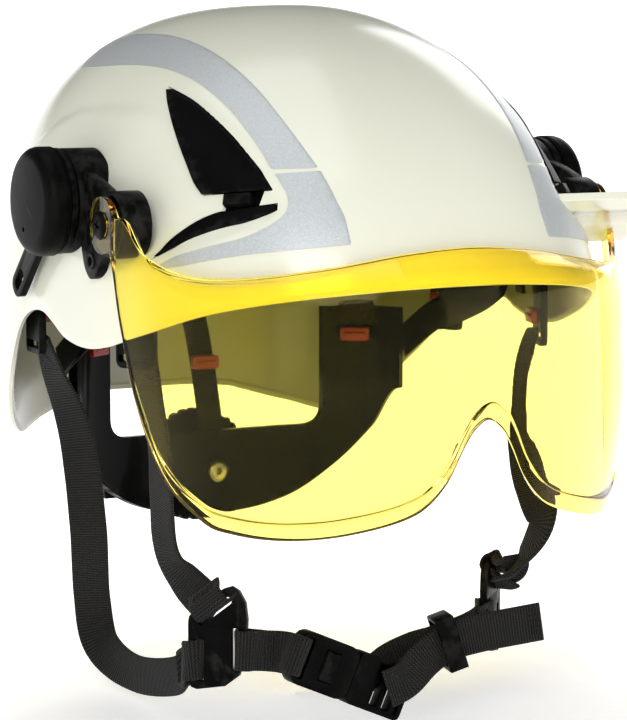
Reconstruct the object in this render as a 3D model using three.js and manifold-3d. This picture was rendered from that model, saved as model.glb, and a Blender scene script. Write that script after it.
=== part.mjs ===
// A ventilated climbing-style hard hat with a tilting eye visor, a four-key webbing suspension,
// a ratchet nape yoke and a buckled chin strap.
//
// Millimetres. +Z is up, -Y is the front, and the wearer's right is -X. The origin is the middle of
// the head opening, at the height of the headband. Side pieces are built for the wearer's right and
// mirrored to the left.
import * as THREE from "three";
import { mergeVertices } from "three/addons/utils/BufferGeometryUtils.js";
import Module from "manifold-3d";

const wasm = await Module();
wasm.setup();

// ---------------------------------------------------------------- driving dimensions

const GAP = 0.4; // between pieces that touch

// Outer shell
const SHELL_HALF_WIDTH = 109;
const SHELL_HALF_LENGTH = 145;
const SHELL_PLAN_POWER = 2.3;
const SHELL_EQUATOR_Z = 18;
const SHELL_CROWN_Z = 143;
const SHELL_FRONT_POWER = 1.75;
const SHELL_REAR_POWER = 2.75;
const SHELL_WALL = 3;
const SHELL_COLUMNS = 48;
const SHELL_ROWS = 9;
// Height of the shell's lower edge: [degrees from the front, height]
const RIM = [
  [0, 39],
  [20, 36.5],
  [40, 29],
  [58, 17],
  [72, 10],
  [84, 12],
  [97, 21],
  [110, 14],
  [124, -12],
  [142, -41],
  [154, -38],
  [166, -31.5],
  [180, -31],
];
const SLOT_BOSS = { y: -4, width: 32, bottom: 13, height: 22, depth: 8 };

// Vents, their slider and the reflective strips, as outlines seen from the side: [y, z].
// They are drawn for a shell of OUTLINE_HALF_LENGTH and stretch with it.
const OUTLINE_HALF_LENGTH = 145;
const OUTLINE_HALF_WIDTH = 109;
const STRETCH_Y = SHELL_HALF_LENGTH / OUTLINE_HALF_LENGTH;
const STRETCH_X = SHELL_HALF_WIDTH / OUTLINE_HALF_WIDTH;
const stretched = (outline) => outline.map(([y, z]) => [y * STRETCH_Y, z]);
const VENT_UPPER = stretched([
  [-32, 111],
  [-74, 96],
  [-100, 75],
  [-80, 71],
  [-54, 93],
]);
const VENT_LOWER = stretched([
  [-67, 46],
  [-85, 63.5],
  [-105, 67.5],
  [-106, 64],
  [-91, 59],
]);
const STRIP_UPPER = stretched([
  [40, 116],
  [42, 128],
  [14, 132],
  [-20, 128],
  [-60, 113],
  [-92, 95],
  [-108, 82.5],
  [-97, 81],
  [-82, 91],
  [-55, 106],
  [-20, 117],
  [12, 119],
]);
const STRIP_LOWER = stretched([
  [-108.5, 80.5],
  [-121, 68],
  [-128, 54],
  [-100, 47.5],
  [-78, 42.5],
  [-73, 44.5],
  [-98, 57],
  [-111, 65],
  [-110, 71],
  [-102, 79],
]);
const VENT_COVER_THICKNESS = 2;
const STRIP_THICKNESS = 0.5;

// Vent slider: a tab in a slot between the two vents of a side
const SLIDER_SIDE_VIEW = [-92.5 * STRETCH_Y, 69.5]; // [y, z]
const SLIDER_DIRECTION = [0.66 * STRETCH_X, -0.74 * STRETCH_Y, 0.08];
const SLIDER_TAB = { length: 11, height: 4.4, stand: 1.6 };
const SLIDER_PLATE = { length: 26, height: 12, thickness: 1.6, stand: 1.6 };
const SLIDER_TRAVEL = 6;

// Side adapter: base, locking lever and domed cap, on one axis along X
const CAP_Y = -12;
const CAP_Z = 66;
const CAP_RADIUS = 21.5;
const CAP_FACE_X = SHELL_HALF_WIDTH + 16;
const CAP_WALL = 2.4;
const CAP_EDGE = 4;
const LEVER_INNER_X = SHELL_HALF_WIDTH + 2;
const LEVER_THICKNESS = 3;
const SPIGOT_RADIUS = 6;
const LEVER_REACH = [39, -39]; // from the cap's axis to the lever's tip, along Y and Z
const LEVER_WIDTH = 10;
const LEVER_RING = 5; // the lever's ring, between its bore and its rim

// Visor hinge
const PIVOT_Y = -56;
const PIVOT_Z = 59;
const ARM_X = SHELL_HALF_WIDTH + 3.5; // outer face of the visor's arms
const VISOR_WALL = 2.4;
const EYE_RADIUS = 11;
const PIN_RADIUS = 4;
const PIN_HEAD_RADIUS = 5.6;
const PIN_HEAD = 1.4;
const BARREL_RADIUS = 13;
const BARREL_WALL = 2;
const BARREL_DEPTH = 9;
const BARREL_INSET = 1.2; // of the barrel's mouth behind the visor's arm
const BRACKET_THICKNESS = 4;

// Visor: half an ellipse in plan, with a sloping ledge along its top
const EYE_START = 64; // degrees from the front where the arm becomes the hinge eye
const EYE_INSET = 1.5; // of the lens there, in from the arm's outer face
const VISOR_HALF_WIDTH = (ARM_X - EYE_INSET) / Math.sin((EYE_START * Math.PI) / 180);
const VISOR_REACH = SHELL_HALF_LENGTH + 13;
const VISOR_BULGE = 3;
const VISOR_TUCK = 4; // how far the free edge turns in
// Top edge and free edge: [degrees from the front, height]
const VISOR_TOP = [
  [0, 52.5],
  [15, 50.5],
  [30, 45.5],
  [45, 41.5],
  [54, 43],
  [60, 50],
  [64, 62],
];
const VISOR_EDGE = [
  [0, -10.5],
  [3, -14.5],
  [5.2, -21.5],
  [8, -33],
  [12, -42.5],
  [16, -47],
  [22.5, -51],
  [30, -54],
  [38, -55],
  [45, -53.5],
  [49, -50.5],
  [56, -35],
  [61, -8],
  [64, 22],
  [66, 44],
];
const LEDGE_CLEARANCE = 3; // from the ledge's inner edge to the shell
const LEDGE_SLOPE = 0.6;
// Share of its full width that the ledge keeps: [degrees from the front, share]
const LEDGE_SHARE = [
  [0, 1],
  [40, 0.97],
  [52, 0.55],
  [62, 0.06],
  [75, 0.05],
];

// Headband
const BROW_HALF_WIDTH = 82;
const BROW_REACH = 106;
const BAND_WALL = 2;
const BROW_HEIGHT = 26;
const BROW_FRONT_Z = 52;
const BROW_SLOPE = 0.3; // the band falls towards the back
const BROW_END_ANGLE = 98;
const PAD_THICKNESS = 4;
const PAD_HEIGHT = 22;
const PAD_END_ANGLE = 55;

// Nape yoke: two side arms and a cross bar with a window above it
const YOKE_HALF_WIDTH = BROW_HALF_WIDTH + 2;
const YOKE_REACH = 76;
const YOKE_POWER = 4.2;
const YOKE_WALL = 3;
const YOKE_TOP_Z = 10;
const YOKE_OUTER_X = BROW_HALF_WIDTH - 1;
const YOKE_WINDOW = { halfWidth: 52, bottom: -43, corner: 7 };
// Lower edge of the yoke: [x, z]
const YOKE_EDGE = [
  [0, -80],
  [36, -75],
  [60, -61],
  [74, -44],
  [81, -26],
];

// Ratchet
const RATCHET_Z = -61;
const HOUSING = { halfWidth: 34, height: 30, front: 77.5, back: 91 };
const RACK = { length: 58, height: 5, thickness: 3, overlap: 8 };
const PINION_RADIUS = 4.6;
const KNOB_RADIUS = 25;
const KNOB_DEPTH = 10;
const SCREW_RADIUS = 2;
const SCREW_HEAD_RADIUS = 5;
const SCREW_HEAD = 2.2;

// Webbing
const WEB_WIDTH = 16;
const WEB_THICKNESS = 1.5;
const CROWN_WEB_WIDTH = 20;
const SLOT_HALF = WEB_WIDTH / 2 + 0.6; // half the length of a slot that webbing runs through

// Chin strap hardware
const FORK_THICKNESS = 3;
// Outline of the fork in its own plane: straight to a point, or curved past one to the next
const FORK_OUTLINE = [
  [-9, -21],
  [3, -19],
  [10, -16, 11, -8],
  [12, 8],
  [12, 16, 8.5, 19.5],
  [5.5, 22.5, 2, 20],
  [-11, 9.8],
  [-12.5, 8.5, -12.5, 6],
  [-12.5, -18],
  [-12, -21, -9, -21],
];
const FORK_OUTLINE_SLOT = 8.6; // half the slot length that the outline is drawn for
const FORK_SLOT_HALF_WIDTH = 1.6;
// Its three slots: [x, z, turn]
const FORK_SLOTS = [
  [-7.5, -9, 0],
  [7.2, -4, 0],
  [-1.5, 11, 52],
];
const FORK_TURN = 45;
const FORKS = { R: [-60, -50, -107], L: [62, -57, -104] };
const BUCKLE = { x: -10, y: -66, z: -124, tilt: 24, height: WEB_WIDTH + 6, depth: 8 };
// Buckle: [from, to] along the strap, either side of the line where its halves meet
const SOCKET = { length: 28, corner: 5, strapSlot: [-25.5, -22], mouth: -16 };
const INSERT = { length: 27, corner: 2.5, strapSlots: [12.5, 18.5], slotWidth: 4 };
const INSERT_RECESS = { from: 10, to: 25, depth: 2 };
const TONGUE = { halfThickness: 2, halfWidth: 8, end: -15 };
const BUTTON = { from: -15.5, to: -8.5, halfWidth: 6.5, floor: -1, travel: 1 };
const KEEPER = { x: 31.5, y: -73.9, z: -113.2, yaw: -14, tilt: -18, length: 8, wall: 1.8, room: 4.6 };

// Hangers inside the shell, each with its turn about Z, and the keys in front of them.
// stand is the distance in from the shell's inner face, along X
const HANGER_FRONT = { y: -46, z: 16, turn: -68, stand: 9.55 };
const HANGER_REAR = { y: 40, z: 14, turn: -97, stand: 4.5 };
const HANGER_REAR_CENTRE = { stand: 8, z: 36 };
const CRADLE = { turn: 65, foot: 24, top: 100, stand: 15.5 };
const innerSide = (y, z, stand) => shellSide(y, z) - SHELL_WALL - stand;
const FRONT_HANGER_X = innerSide(HANGER_FRONT.y, HANGER_FRONT.z, HANGER_FRONT.stand);
const REAR_HANGER_X = innerSide(HANGER_REAR.y, HANGER_REAR.z, HANGER_REAR.stand);
const REAR_CENTRE_Y = SHELL_HALF_LENGTH - HANGER_REAR_CENTRE.stand;
const STRAP_STAND = 2.7; // of a strap's start in from its hanger's middle
const HANGER = { halfWidth: 10, bottom: -14, top: 16, corner: 3, thickness: 3 };
const HANGER_EYE = { halfWidth: 8.6, bottom: -11.5, top: -8.5 };
const KEY = { halfWidth: 6.5, halfHeight: 3, corner: 1.5, thickness: 2.8, stand: 3.4 };
const KEY_RIB = { halfWidth: 4.5, halfHeight: 0.8, stand: 2.2 };
const KEY_DROP = { front: -2, rear: 2, nape: -6.5 }; // from the middle of the hanger or lug
const LUG = { x: 66, back: 12, turn: 35, halfWidth: 8, halfDepth: 2, bottom: -4, top: 8, drop: 4 };
const REAR_KEY = { y: YOKE_REACH + 8, z: -14 };

// Webbing routes: `at` is a point of the strap's middle line and `across` its width there
const BAND_TAIL_HEIGHT = 14;
const BAND_TAIL = [
  { at: [-BROW_HALF_WIDTH - 1.4, 0, 18], across: [0, 0.3, 1] },
  { at: [-BROW_HALF_WIDTH - 1.6, 26, 8], across: [0, 0.4, 1] },
  { at: [-BROW_HALF_WIDTH - 1.2, 52, -6], across: [0, 0.5, 1] },
];
const REAR_STRAP = [
  { at: [0, 78.2, -44.5], across: [1, 0, 0] },
  { at: [0, 81.5, -32], across: [1, 0, 0] },
  { at: [0, 87.4, -14], across: [1, 0, 0] },
  { at: [0, 96, 6], across: [1, 0, 0] },
  { at: [0, 113, 26], across: [1, 0, 0] },
  { at: [0, REAR_CENTRE_Y - 3.4, 41], across: [1, 0, 0] },
];
const LEG_REAR_R = [
  { at: [STRAP_STAND - REAR_HANGER_X, 39.7, 8], across: [-0.12, -1, 0] },
  { at: [18 - SHELL_HALF_WIDTH, 41.5, -8], across: [0.2, -0.95, 0] },
  { at: [-26.5 - SHELL_HALF_WIDTH / 2, 41, -36], across: [0.65, -0.76, 0] },
  { at: [-75.5, 42, -75], across: [0.8, -0.6, 0] },
  { at: [-71, 49, -106], across: [0.78, -0.62, 0] },
  { at: [-68, 46, -127], across: [0.6, -0.3, 0.7] },
  { at: [-64, 22, -135], across: [0.1, 0.1, 1] },
  { at: [-62, -12, -130], across: [0, -0.1, 1] },
  { at: [-63.4, -30, -121], across: [0, -0.3, 1] },
  { at: [-61.3, -42, -116], across: [0, 0, 1] },
];
const LEG_FRONT_R = [
  { at: [STRAP_STAND - FRONT_HANGER_X, -45, 9], across: [0.37, -0.93, 0] },
  { at: [23 - SHELL_HALF_WIDTH, -43.5, -9], across: [0.2, -1, 0] },
  { at: [-25.5 - SHELL_HALF_WIDTH / 2, -38.5, -33], across: [0.1, -1, 0] },
  { at: [-72.5, -27, -72], across: [0.2, -1, 0] },
  { at: [-65, -31, -87], across: [0.45, -0.8, 0.4] },
  { at: [-59.6, -46.4, -97], across: [0.5, -0.5, 0.7] },
];
const LEG_FRONT_L = [
  { at: [FRONT_HANGER_X - STRAP_STAND, -45, 9], across: [-0.37, -0.93, 0] },
  { at: [SHELL_HALF_WIDTH - 25, -45.5, -12], across: [-0.1, -1, 0] },
  { at: [25.5 + SHELL_HALF_WIDTH / 2, -51, -33], across: [0.1, -1, 0] },
  { at: [76, -66, -50], across: [0.1, -0.8, -0.5] },
  { at: [71, -82, -66], across: [0, -0.9, -0.3] },
  { at: [66, -74, -82], across: [-0.2, -0.9, 0.3] },
  { at: [64.8, -64.5, -92], across: [-0.6, -0.6, 0.5] },
];
const BUCKLE_STRAP = [
  { at: [-53.2, -53, -111], across: [0.2, 0, 1] },
  { at: [-42, -58.6, -112.4], across: [0.25, 0, 1] },
  { at: [-28.3, -60.6, -115.9], across: [0.4, 0, 0.91] },
];
const LOAD_STRAP = [
  { at: [2, -60.4, -128], across: [-0.3, 0, 1] },
  { at: [12, -59.6, -122.5], across: [-0.4, 0, 1] },
  { at: [13 + WEB_WIDTH / 2, -63.5, -118], across: [-0.35, 0, 1] },
  { at: [28, -70.4, -114.6], across: [-0.32, 0, 1] },
  { at: [41, -73.7, -110.3], across: [-0.3, 0, 1] },
  { at: [48.5, -69.5, -108.6], across: [-0.1, 0, 1] },
  { at: [54.2, -59.1, -108], across: [0, 0, 1] },
];
const TAIL_STRAP = [
  { at: [5, -71.4, -130.6], across: [0.2, 0, 1] },
  { at: [13, -72, -127.5], across: [-0.2, 0, 1] },
  { at: [21, -73.8, -119.5], across: [-0.4, 0, 1] },
  { at: [31, -76, -113.2], across: [-0.3, 0, 1] },
  { at: [46, -81, -109.3], across: [-0.2, 0, 1] },
  { at: [67, -88.5, -105.8], across: [-0.15, 0, 1] },
];

// ---------------------------------------------------------------- materials

const finish = (color, roughness, metalness = 0) => ({ color, roughness, metalness });
const SHELL_WHITE = finish(0xe1e2d0, 0.25);
const REFLECTIVE_GREY = finish(0xbec6c8, 0.5);
const BLACK_PLASTIC = finish(0x191918, 0.45);
const VISOR_YELLOW = { ...finish(0xffe92e, 0.08), transparent: true, opacity: 0.45 };
const WEBBING_BLACK = finish(0x121212, 0.9);
const KEY_RED = finish(0x9a0f16, 0.4);
const PAD_FOAM = finish(0x232326, 0.95);
const STEEL = finish(0xb4b6b8, 0.3, 1);

// ---------------------------------------------------------------- geometry helpers

const vec = (x, y, z) => new THREE.Vector3(x, y, z);
const radians = THREE.MathUtils.degToRad;
const clamp = THREE.MathUtils.clamp;

// Smooth curve through [x, y] knots, level at its first and last knot.
function through(knots, x) {
  const last = knots.length - 1;
  const at = clamp(x, knots[0][0], knots[last][0]);
  const i = clamp(knots.findIndex((k) => k[0] >= at) - 1, 0, last - 1);
  const slope = (k) => {
    if (k === 0 || k === last) return 0;
    return (knots[k + 1][1] - knots[k - 1][1]) / (knots[k + 1][0] - knots[k - 1][0]);
  };
  const span = knots[i + 1][0] - knots[i][0];
  const t = (at - knots[i][0]) / span;
  const rise = (2 * t ** 3 - 3 * t ** 2 + 1) * knots[i][1];
  const fall = (3 * t ** 2 - 2 * t ** 3) * knots[i + 1][1];
  const turnIn = (t ** 3 - 2 * t ** 2 + t) * span * slope(i);
  const turnOut = (t ** 3 - t ** 2) * span * slope(i + 1);
  return rise + fall + turnIn + turnOut;
}

// A closed body from triangles, welded, without slivers, and facing out.
function closedBody(triangles) {
  const soup = new THREE.BufferGeometry().setFromPoints(triangles.flat());
  const welded = mergeVertices(soup, 1e-3);
  const p = welded.getAttribute("position");
  const kept = [];
  let volume = 0;
  for (let i = 0; i < welded.index.count; i += 3) {
    const [a, b, c] = [0, 1, 2].map((k) => welded.index.getX(i + k));
    if (a === b || b === c || c === a) continue;
    kept.push([a, b, c]);
    const [pa, pb, pc] = [a, b, c].map((k) => vec(p.getX(k), p.getY(k), p.getZ(k)));
    volume += pa.dot(pb.cross(pc));
  }
  const facing = volume > 0 ? kept : kept.map(([a, b, c]) => [a, c, b]);
  welded.setIndex(facing.flat());
  return welded;
}

// Any closed three.js geometry, welded and facing out.
function closedFrom(geometry) {
  const flat = geometry.index ? geometry.toNonIndexed() : geometry;
  const p = flat.getAttribute("position");
  const triangles = [];
  for (let i = 0; i < p.count; i += 3) {
    triangles.push([0, 1, 2].map((k) => vec(p.getX(i + k), p.getY(i + k), p.getZ(i + k))));
  }
  return closedBody(triangles);
}

// A four-sided patch as two triangles, split along a-c or along b-d.
const patch = (a, b, c, d, otherWay) =>
  otherWay
    ? [
        [a, b, d],
        [b, c, d],
      ]
    : [
        [a, b, c],
        [a, c, d],
      ];

// A sheet of two faces, point(i, j, 0) and point(i, j, 1), closed all round its edge.
// wrap joins the last column to the first. Patches split the same way on both sides of the middle.
function slab(columns, rows, point, wrap = false) {
  const triangles = [];
  const quad = (a, b, c, d, otherWay) => triangles.push(...patch(a, b, c, d, otherWay));
  const spans = wrap ? columns : columns - 1;
  const next = (i) => (wrap ? (i + 1) % columns : i + 1);
  for (let i = 0; i < spans; i++) {
    const n = next(i);
    const far = i >= spans / 2;
    for (let j = 0; j < rows - 1; j++) {
      quad(point(i, j, 0), point(n, j, 0), point(n, j + 1, 0), point(i, j + 1, 0), far);
      quad(point(i, j, 1), point(i, j + 1, 1), point(n, j + 1, 1), point(n, j, 1), far);
    }
    quad(point(n, 0, 0), point(i, 0, 0), point(i, 0, 1), point(n, 0, 1));
    const top = rows - 1;
    quad(point(i, top, 0), point(n, top, 0), point(n, top, 1), point(i, top, 1));
  }
  if (!wrap) {
    const end = columns - 1;
    for (let j = 0; j < rows - 1; j++) {
      quad(point(0, j, 0), point(0, j + 1, 0), point(0, j + 1, 1), point(0, j, 1));
      quad(point(end, j + 1, 0), point(end, j, 0), point(end, j, 1), point(end, j + 1, 1));
    }
  }
  return closedBody(triangles);
}

function toSolid(geometry) {
  const bare = geometry.clone();
  bare.deleteAttribute("normal");
  bare.deleteAttribute("uv");
  const welded = mergeVertices(bare, 1e-3);
  return new wasm.Manifold(
    new wasm.Mesh({
      numProp: 3,
      vertProperties: welded.getAttribute("position").array,
      triVerts: new Uint32Array(welded.index.array),
    }),
  );
}

function fromSolid(solid) {
  const { vertProperties, triVerts } = solid.getMesh();
  const geometry = new THREE.BufferGeometry();
  geometry.setAttribute("position", new THREE.BufferAttribute(vertProperties, 3));
  geometry.setIndex(new THREE.BufferAttribute(triVerts, 1));
  return geometry;
}

const cut = (geometry, ...tools) =>
  fromSolid(tools.reduce((left, tool) => left.subtract(toSolid(tool)), toSolid(geometry)));
const join = (geometry, ...others) =>
  fromSolid(others.reduce((sum, other) => sum.add(toSolid(other)), toSolid(geometry)));
const overlap = (a, b) => fromSolid(toSolid(a).intersect(toSolid(b)));

const box = (x0, x1, y0, y1, z0, z1) =>
  new THREE.BoxGeometry(x1 - x0, y1 - y0, z1 - z0).translate(
    (x0 + x1) / 2,
    (y0 + y1) / 2,
    (z0 + z1) / 2,
  );

// A cylinder along X or Y, from one end to the other.
function rod(axis, radius, from, to, sides = 20) {
  const solid = new THREE.CylinderGeometry(radius, radius, Math.abs(to - from), sides);
  if (axis === "x") solid.rotateZ(Math.PI / 2).translate((from + to) / 2, 0, 0);
  else solid.translate(0, (from + to) / 2, 0);
  return solid;
}

// An outline of [y, z] points, seen from the side, extruded along X.
function sidePlate(outline, x0, x1) {
  const shape = new THREE.Shape(outline.map(([y, z]) => new THREE.Vector2(y, z)));
  const plate = new THREE.ExtrudeGeometry(shape, { depth: x1 - x0, bevelEnabled: false });
  return plate.rotateY(Math.PI / 2).rotateX(Math.PI / 2).translate(x0, 0, 0);
}

// An outline shape in X and Z, extruded along Y.
function frontPlate(shape, y0, y1) {
  const plate = new THREE.ExtrudeGeometry(shape, {
    depth: y1 - y0,
    bevelEnabled: false,
    curveSegments: 2,
  });
  return plate.rotateX(Math.PI / 2).translate(0, y1, 0);
}

function roundedRectangle(x0, x1, z0, z1, r) {
  const shape = new THREE.Shape();
  shape.moveTo(x0 + r, z0);
  shape.lineTo(x1 - r, z0);
  shape.absarc(x1 - r, z0 + r, r, -Math.PI / 2, 0);
  shape.lineTo(x1, z1 - r);
  shape.absarc(x1 - r, z1 - r, r, 0, Math.PI / 2);
  shape.lineTo(x0 + r, z1);
  shape.absarc(x0 + r, z1 - r, r, Math.PI / 2, Math.PI);
  shape.lineTo(x0, z0 + r);
  shape.absarc(x0 + r, z0 + r, r, Math.PI, 1.5 * Math.PI);
  return shape;
}

// Flat webbing through stations {at: [x, y, z], across: [x, y, z]}, across being its width.
function webbing(stations, width, steps) {
  const places = new THREE.CatmullRomCurve3(stations.map((s) => vec(...s.at)));
  const widths = new THREE.CatmullRomCurve3(stations.map((s) => vec(...s.across)));
  const section = Array.from({ length: steps + 1 }, (_, k) => {
    const t = k / steps;
    const along = places.getTangent(t);
    const across = widths.getPoint(t);
    across.addScaledVector(along, -across.dot(along)).normalize();
    return { at: places.getPoint(t), across, out: along.clone().cross(across) };
  });
  return slab(2, steps + 1, (i, j, side) => {
    const s = section[j];
    return s.at
      .clone()
      .addScaledVector(s.across, (i - 0.5) * width)
      .addScaledVector(s.out, (side - 0.5) * WEB_THICKNESS);
  });
}

function named(name, geometry, look) {
  const mesh = new THREE.Mesh(geometry, new THREE.MeshStandardMaterial(look));
  mesh.name = name;
  return mesh;
}

// ---------------------------------------------------------------- the shell's surface

// The dome's section runs from a sloping front to a full back.
function shellPower(angle) {
  return SHELL_FRONT_POWER + (SHELL_REAR_POWER - SHELL_FRONT_POWER) * (0.5 - 0.5 * Math.cos(angle));
}

function planRadius(angle, halfWidth, halfLength, power) {
  const side = Math.abs(Math.sin(angle) / halfWidth) ** power;
  const length = Math.abs(Math.cos(angle) / halfLength) ** power;
  return (side + length) ** (-1 / power);
}

function rimHeight(angle) {
  const degrees = THREE.MathUtils.radToDeg(Math.abs(Math.atan2(Math.sin(angle), Math.cos(angle))));
  return through(RIM, degrees);
}

// Point of the shell's outside at an angle from the front, from level 0 at the rim to 1 at the crown.
function domePoint(angle, level) {
  const foot = rimHeight(angle);
  const power = shellPower(angle);
  const rise = SHELL_CROWN_Z - SHELL_EQUATOR_Z;
  const skirt = Math.max(SHELL_EQUATOR_Z - foot, 0);
  const skirtShare = skirt / (skirt + rise);
  const plan = planRadius(angle, SHELL_HALF_WIDTH, SHELL_HALF_LENGTH, SHELL_PLAN_POWER);
  const on = (radius, height) => vec(radius * Math.sin(angle), -radius * Math.cos(angle), height);
  if (level < skirtShare) return on(plan, foot + (skirt + rise) * level);
  const begin = Math.asin((Math.max(foot - SHELL_EQUATOR_Z, 0) / rise) ** (power / 2));
  const lift = begin + ((Math.PI / 2 - begin) * (level - skirtShare)) / (1 - skirtShare);
  const inward = level >= 1 ? 0 : Math.cos(lift) ** (2 / power);
  return on(plan * inward, SHELL_EQUATOR_Z + rise * Math.sin(Math.min(lift, Math.PI / 2)) ** (2 / power));
}

// The same point moved out along the surface's normal.
function shellPoint(angle, level, grow) {
  const point = domePoint(angle, level);
  if (level >= 1) return point.setZ(point.z + grow);
  const step = 0.01;
  const around = domePoint(angle + step, level).sub(domePoint(angle - step, level));
  const low = Math.max(level - step, 0);
  const up = domePoint(angle, level + step).sub(domePoint(angle, low));
  return point.addScaledVector(around.cross(up).normalize(), grow);
}

// Radius of the shell at an angle from the front and a height.
function shellRadius(angle, height) {
  const power = shellPower(angle);
  const rise = Math.max(height - SHELL_EQUATOR_Z, 0) / (SHELL_CROWN_Z - SHELL_EQUATOR_Z);
  const plan = planRadius(angle, SHELL_HALF_WIDTH, SHELL_HALF_LENGTH, SHELL_PLAN_POWER);
  return plan * (1 - rise ** power) ** (1 / power);
}

// Distance of the shell's side from the middle plane, at a distance along Y and a height.
function shellSide(y, z) {
  let [low, high] = [0, Math.PI];
  for (let k = 0; k < 40; k++) {
    const middle = (low + high) / 2;
    if (-shellRadius(middle, z) * Math.cos(middle) < y) low = middle;
    else high = middle;
  }
  return shellRadius(low, z) * Math.sin(low);
}

const columnAngle = (i) => (2 * Math.PI * i) / SHELL_COLUMNS;

function shellWall(outerGrow, innerGrow) {
  return slab(
    SHELL_COLUMNS,
    SHELL_ROWS + 1,
    (i, j, side) => {
      const angle = columnAngle(i);
      return shellPoint(angle, j / SHELL_ROWS, side ? innerGrow : outerGrow);
    },
    true,
  );
}

// The whole space inside the shell's outside, grown by a clearance, down to a level below it.
function shellSpace(grow, floor) {
  const triangles = [];
  const at = (i, j) => shellPoint(columnAngle(i), j / SHELL_ROWS, grow);
  for (let i = 0; i < SHELL_COLUMNS; i++) {
    const n = (i + 1) % SHELL_COLUMNS;
    for (let j = 0; j < SHELL_ROWS; j++) {
      const far = i >= SHELL_COLUMNS / 2;
      triangles.push(...patch(at(i, j), at(n, j), at(n, j + 1), at(i, j + 1), far));
    }
    const [low, nextLow] = [at(i, 0).setZ(floor), at(n, 0).setZ(floor)];
    triangles.push([at(n, 0), at(i, 0), low], [at(n, 0), low, nextLow]);
    triangles.push([nextLow, low, vec(0, 0, floor)]);
  }
  return closedBody(triangles);
}

// ---------------------------------------------------------------- shell, vents, strips

const ventHole = (outline) => sidePlate(outline, -SHELL_HALF_WIDTH - 10, -30);
const shrunk = (outline, by) => {
  const middle = outline.reduce(([a, b], [y, z]) => [a + y, b + z], [0, 0]);
  const [cy, cz] = middle.map((sum) => sum / outline.length);
  return outline.map(([y, z]) => {
    const reach = Math.hypot(y - cy, z - cz);
    const share = (reach - 2 * by) / reach;
    return [cy + (y - cy) * share, cz + (z - cz) * share];
  });
};

// Weights that turn a point of the dome's front quarter into its outward direction
const SHELL_LEAN = vec(1 / STRETCH_X ** 2, 0.65 / STRETCH_Y ** 2, 0.75);

// The slider's own frame: X along its travel, Y out of the shell.
function sliderFrame() {
  const along = vec(...SLIDER_DIRECTION).normalize();
  const [y, z] = SLIDER_SIDE_VIEW;
  const centre = vec(SHELL_WALL / 2 - shellSide(y, z), y, z);
  const out = centre.clone().multiply(SHELL_LEAN).normalize();
  out.addScaledVector(along, -out.dot(along)).normalize();
  const turn = new THREE.Matrix4().makeBasis(along, out, along.clone().cross(out));
  return turn.setPosition(centre);
}

function sliderSlot() {
  const half = SLIDER_TAB.length / 2;
  const slot = box(
    -half - GAP,
    half + SLIDER_TRAVEL + GAP,
    -8,
    8,
    -SLIDER_TAB.height / 2 - GAP,
    SLIDER_TAB.height / 2 + GAP,
  );
  return slot.applyMatrix4(sliderFrame());
}

const mirrored = (geometry) => closedFrom(geometry.clone().scale(-1, 1, 1));

function outerShell() {
  const boss = box(
    -SHELL_HALF_WIDTH + 1.5,
    -SHELL_HALF_WIDTH + 1.5 + SLOT_BOSS.depth,
    SLOT_BOSS.y - SLOT_BOSS.width / 2,
    SLOT_BOSS.y + SLOT_BOSS.width / 2,
    SLOT_BOSS.bottom,
    SLOT_BOSS.bottom + SLOT_BOSS.height,
  );
  const tidyBoss = overlap(boss, shellSpace(-SHELL_WALL / 2, SLOT_BOSS.bottom - 10));
  const holes = [ventHole(VENT_UPPER), ventHole(VENT_LOWER), sliderSlot()];
  const wall = join(shellWall(0, -SHELL_WALL), tidyBoss, mirrored(tidyBoss));
  return cut(wall, ...holes, ...holes.map(mirrored));
}

function ventCover(outline) {
  const skin = shellWall(-GAP, -GAP - VENT_COVER_THICKNESS);
  return cut(overlap(skin, ventHole(shrunk(outline, GAP))), sliderSlot());
}

function reflectiveStrip(outline) {
  return overlap(shellWall(GAP + STRIP_THICKNESS, GAP), ventHole(outline));
}

function ventSlider() {
  const { length, height, stand } = SLIDER_TAB;
  const inside = -SHELL_WALL - SLIDER_PLATE.stand;
  const tab = box(-length / 2, length / 2, inside - 0.2, stand, -height / 2, height / 2);
  const plate = box(
    -SLIDER_PLATE.length / 2,
    SLIDER_PLATE.length / 2,
    inside - SLIDER_PLATE.thickness,
    inside,
    -SLIDER_PLATE.height / 2,
    SLIDER_PLATE.height / 2,
  );
  return join(tab, plate).applyMatrix4(sliderFrame());
}

// ---------------------------------------------------------------- side adapter and visor hinge

const clearOfShell = shellSpace(GAP, -60);
const LEVER_OUTER_X = LEVER_INNER_X + LEVER_THICKNESS;

function adapterBase() {
  const disc = rod("x", CAP_RADIUS - 1, -90, -LEVER_INNER_X + GAP).translate(0, CAP_Y, CAP_Z);
  const spigot = rod("x", SPIGOT_RADIUS, -LEVER_INNER_X + 5, -CAP_FACE_X + CAP_WALL + 3, 16);
  return cut(join(disc, spigot.translate(0, CAP_Y, CAP_Z)), clearOfShell);
}

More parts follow.
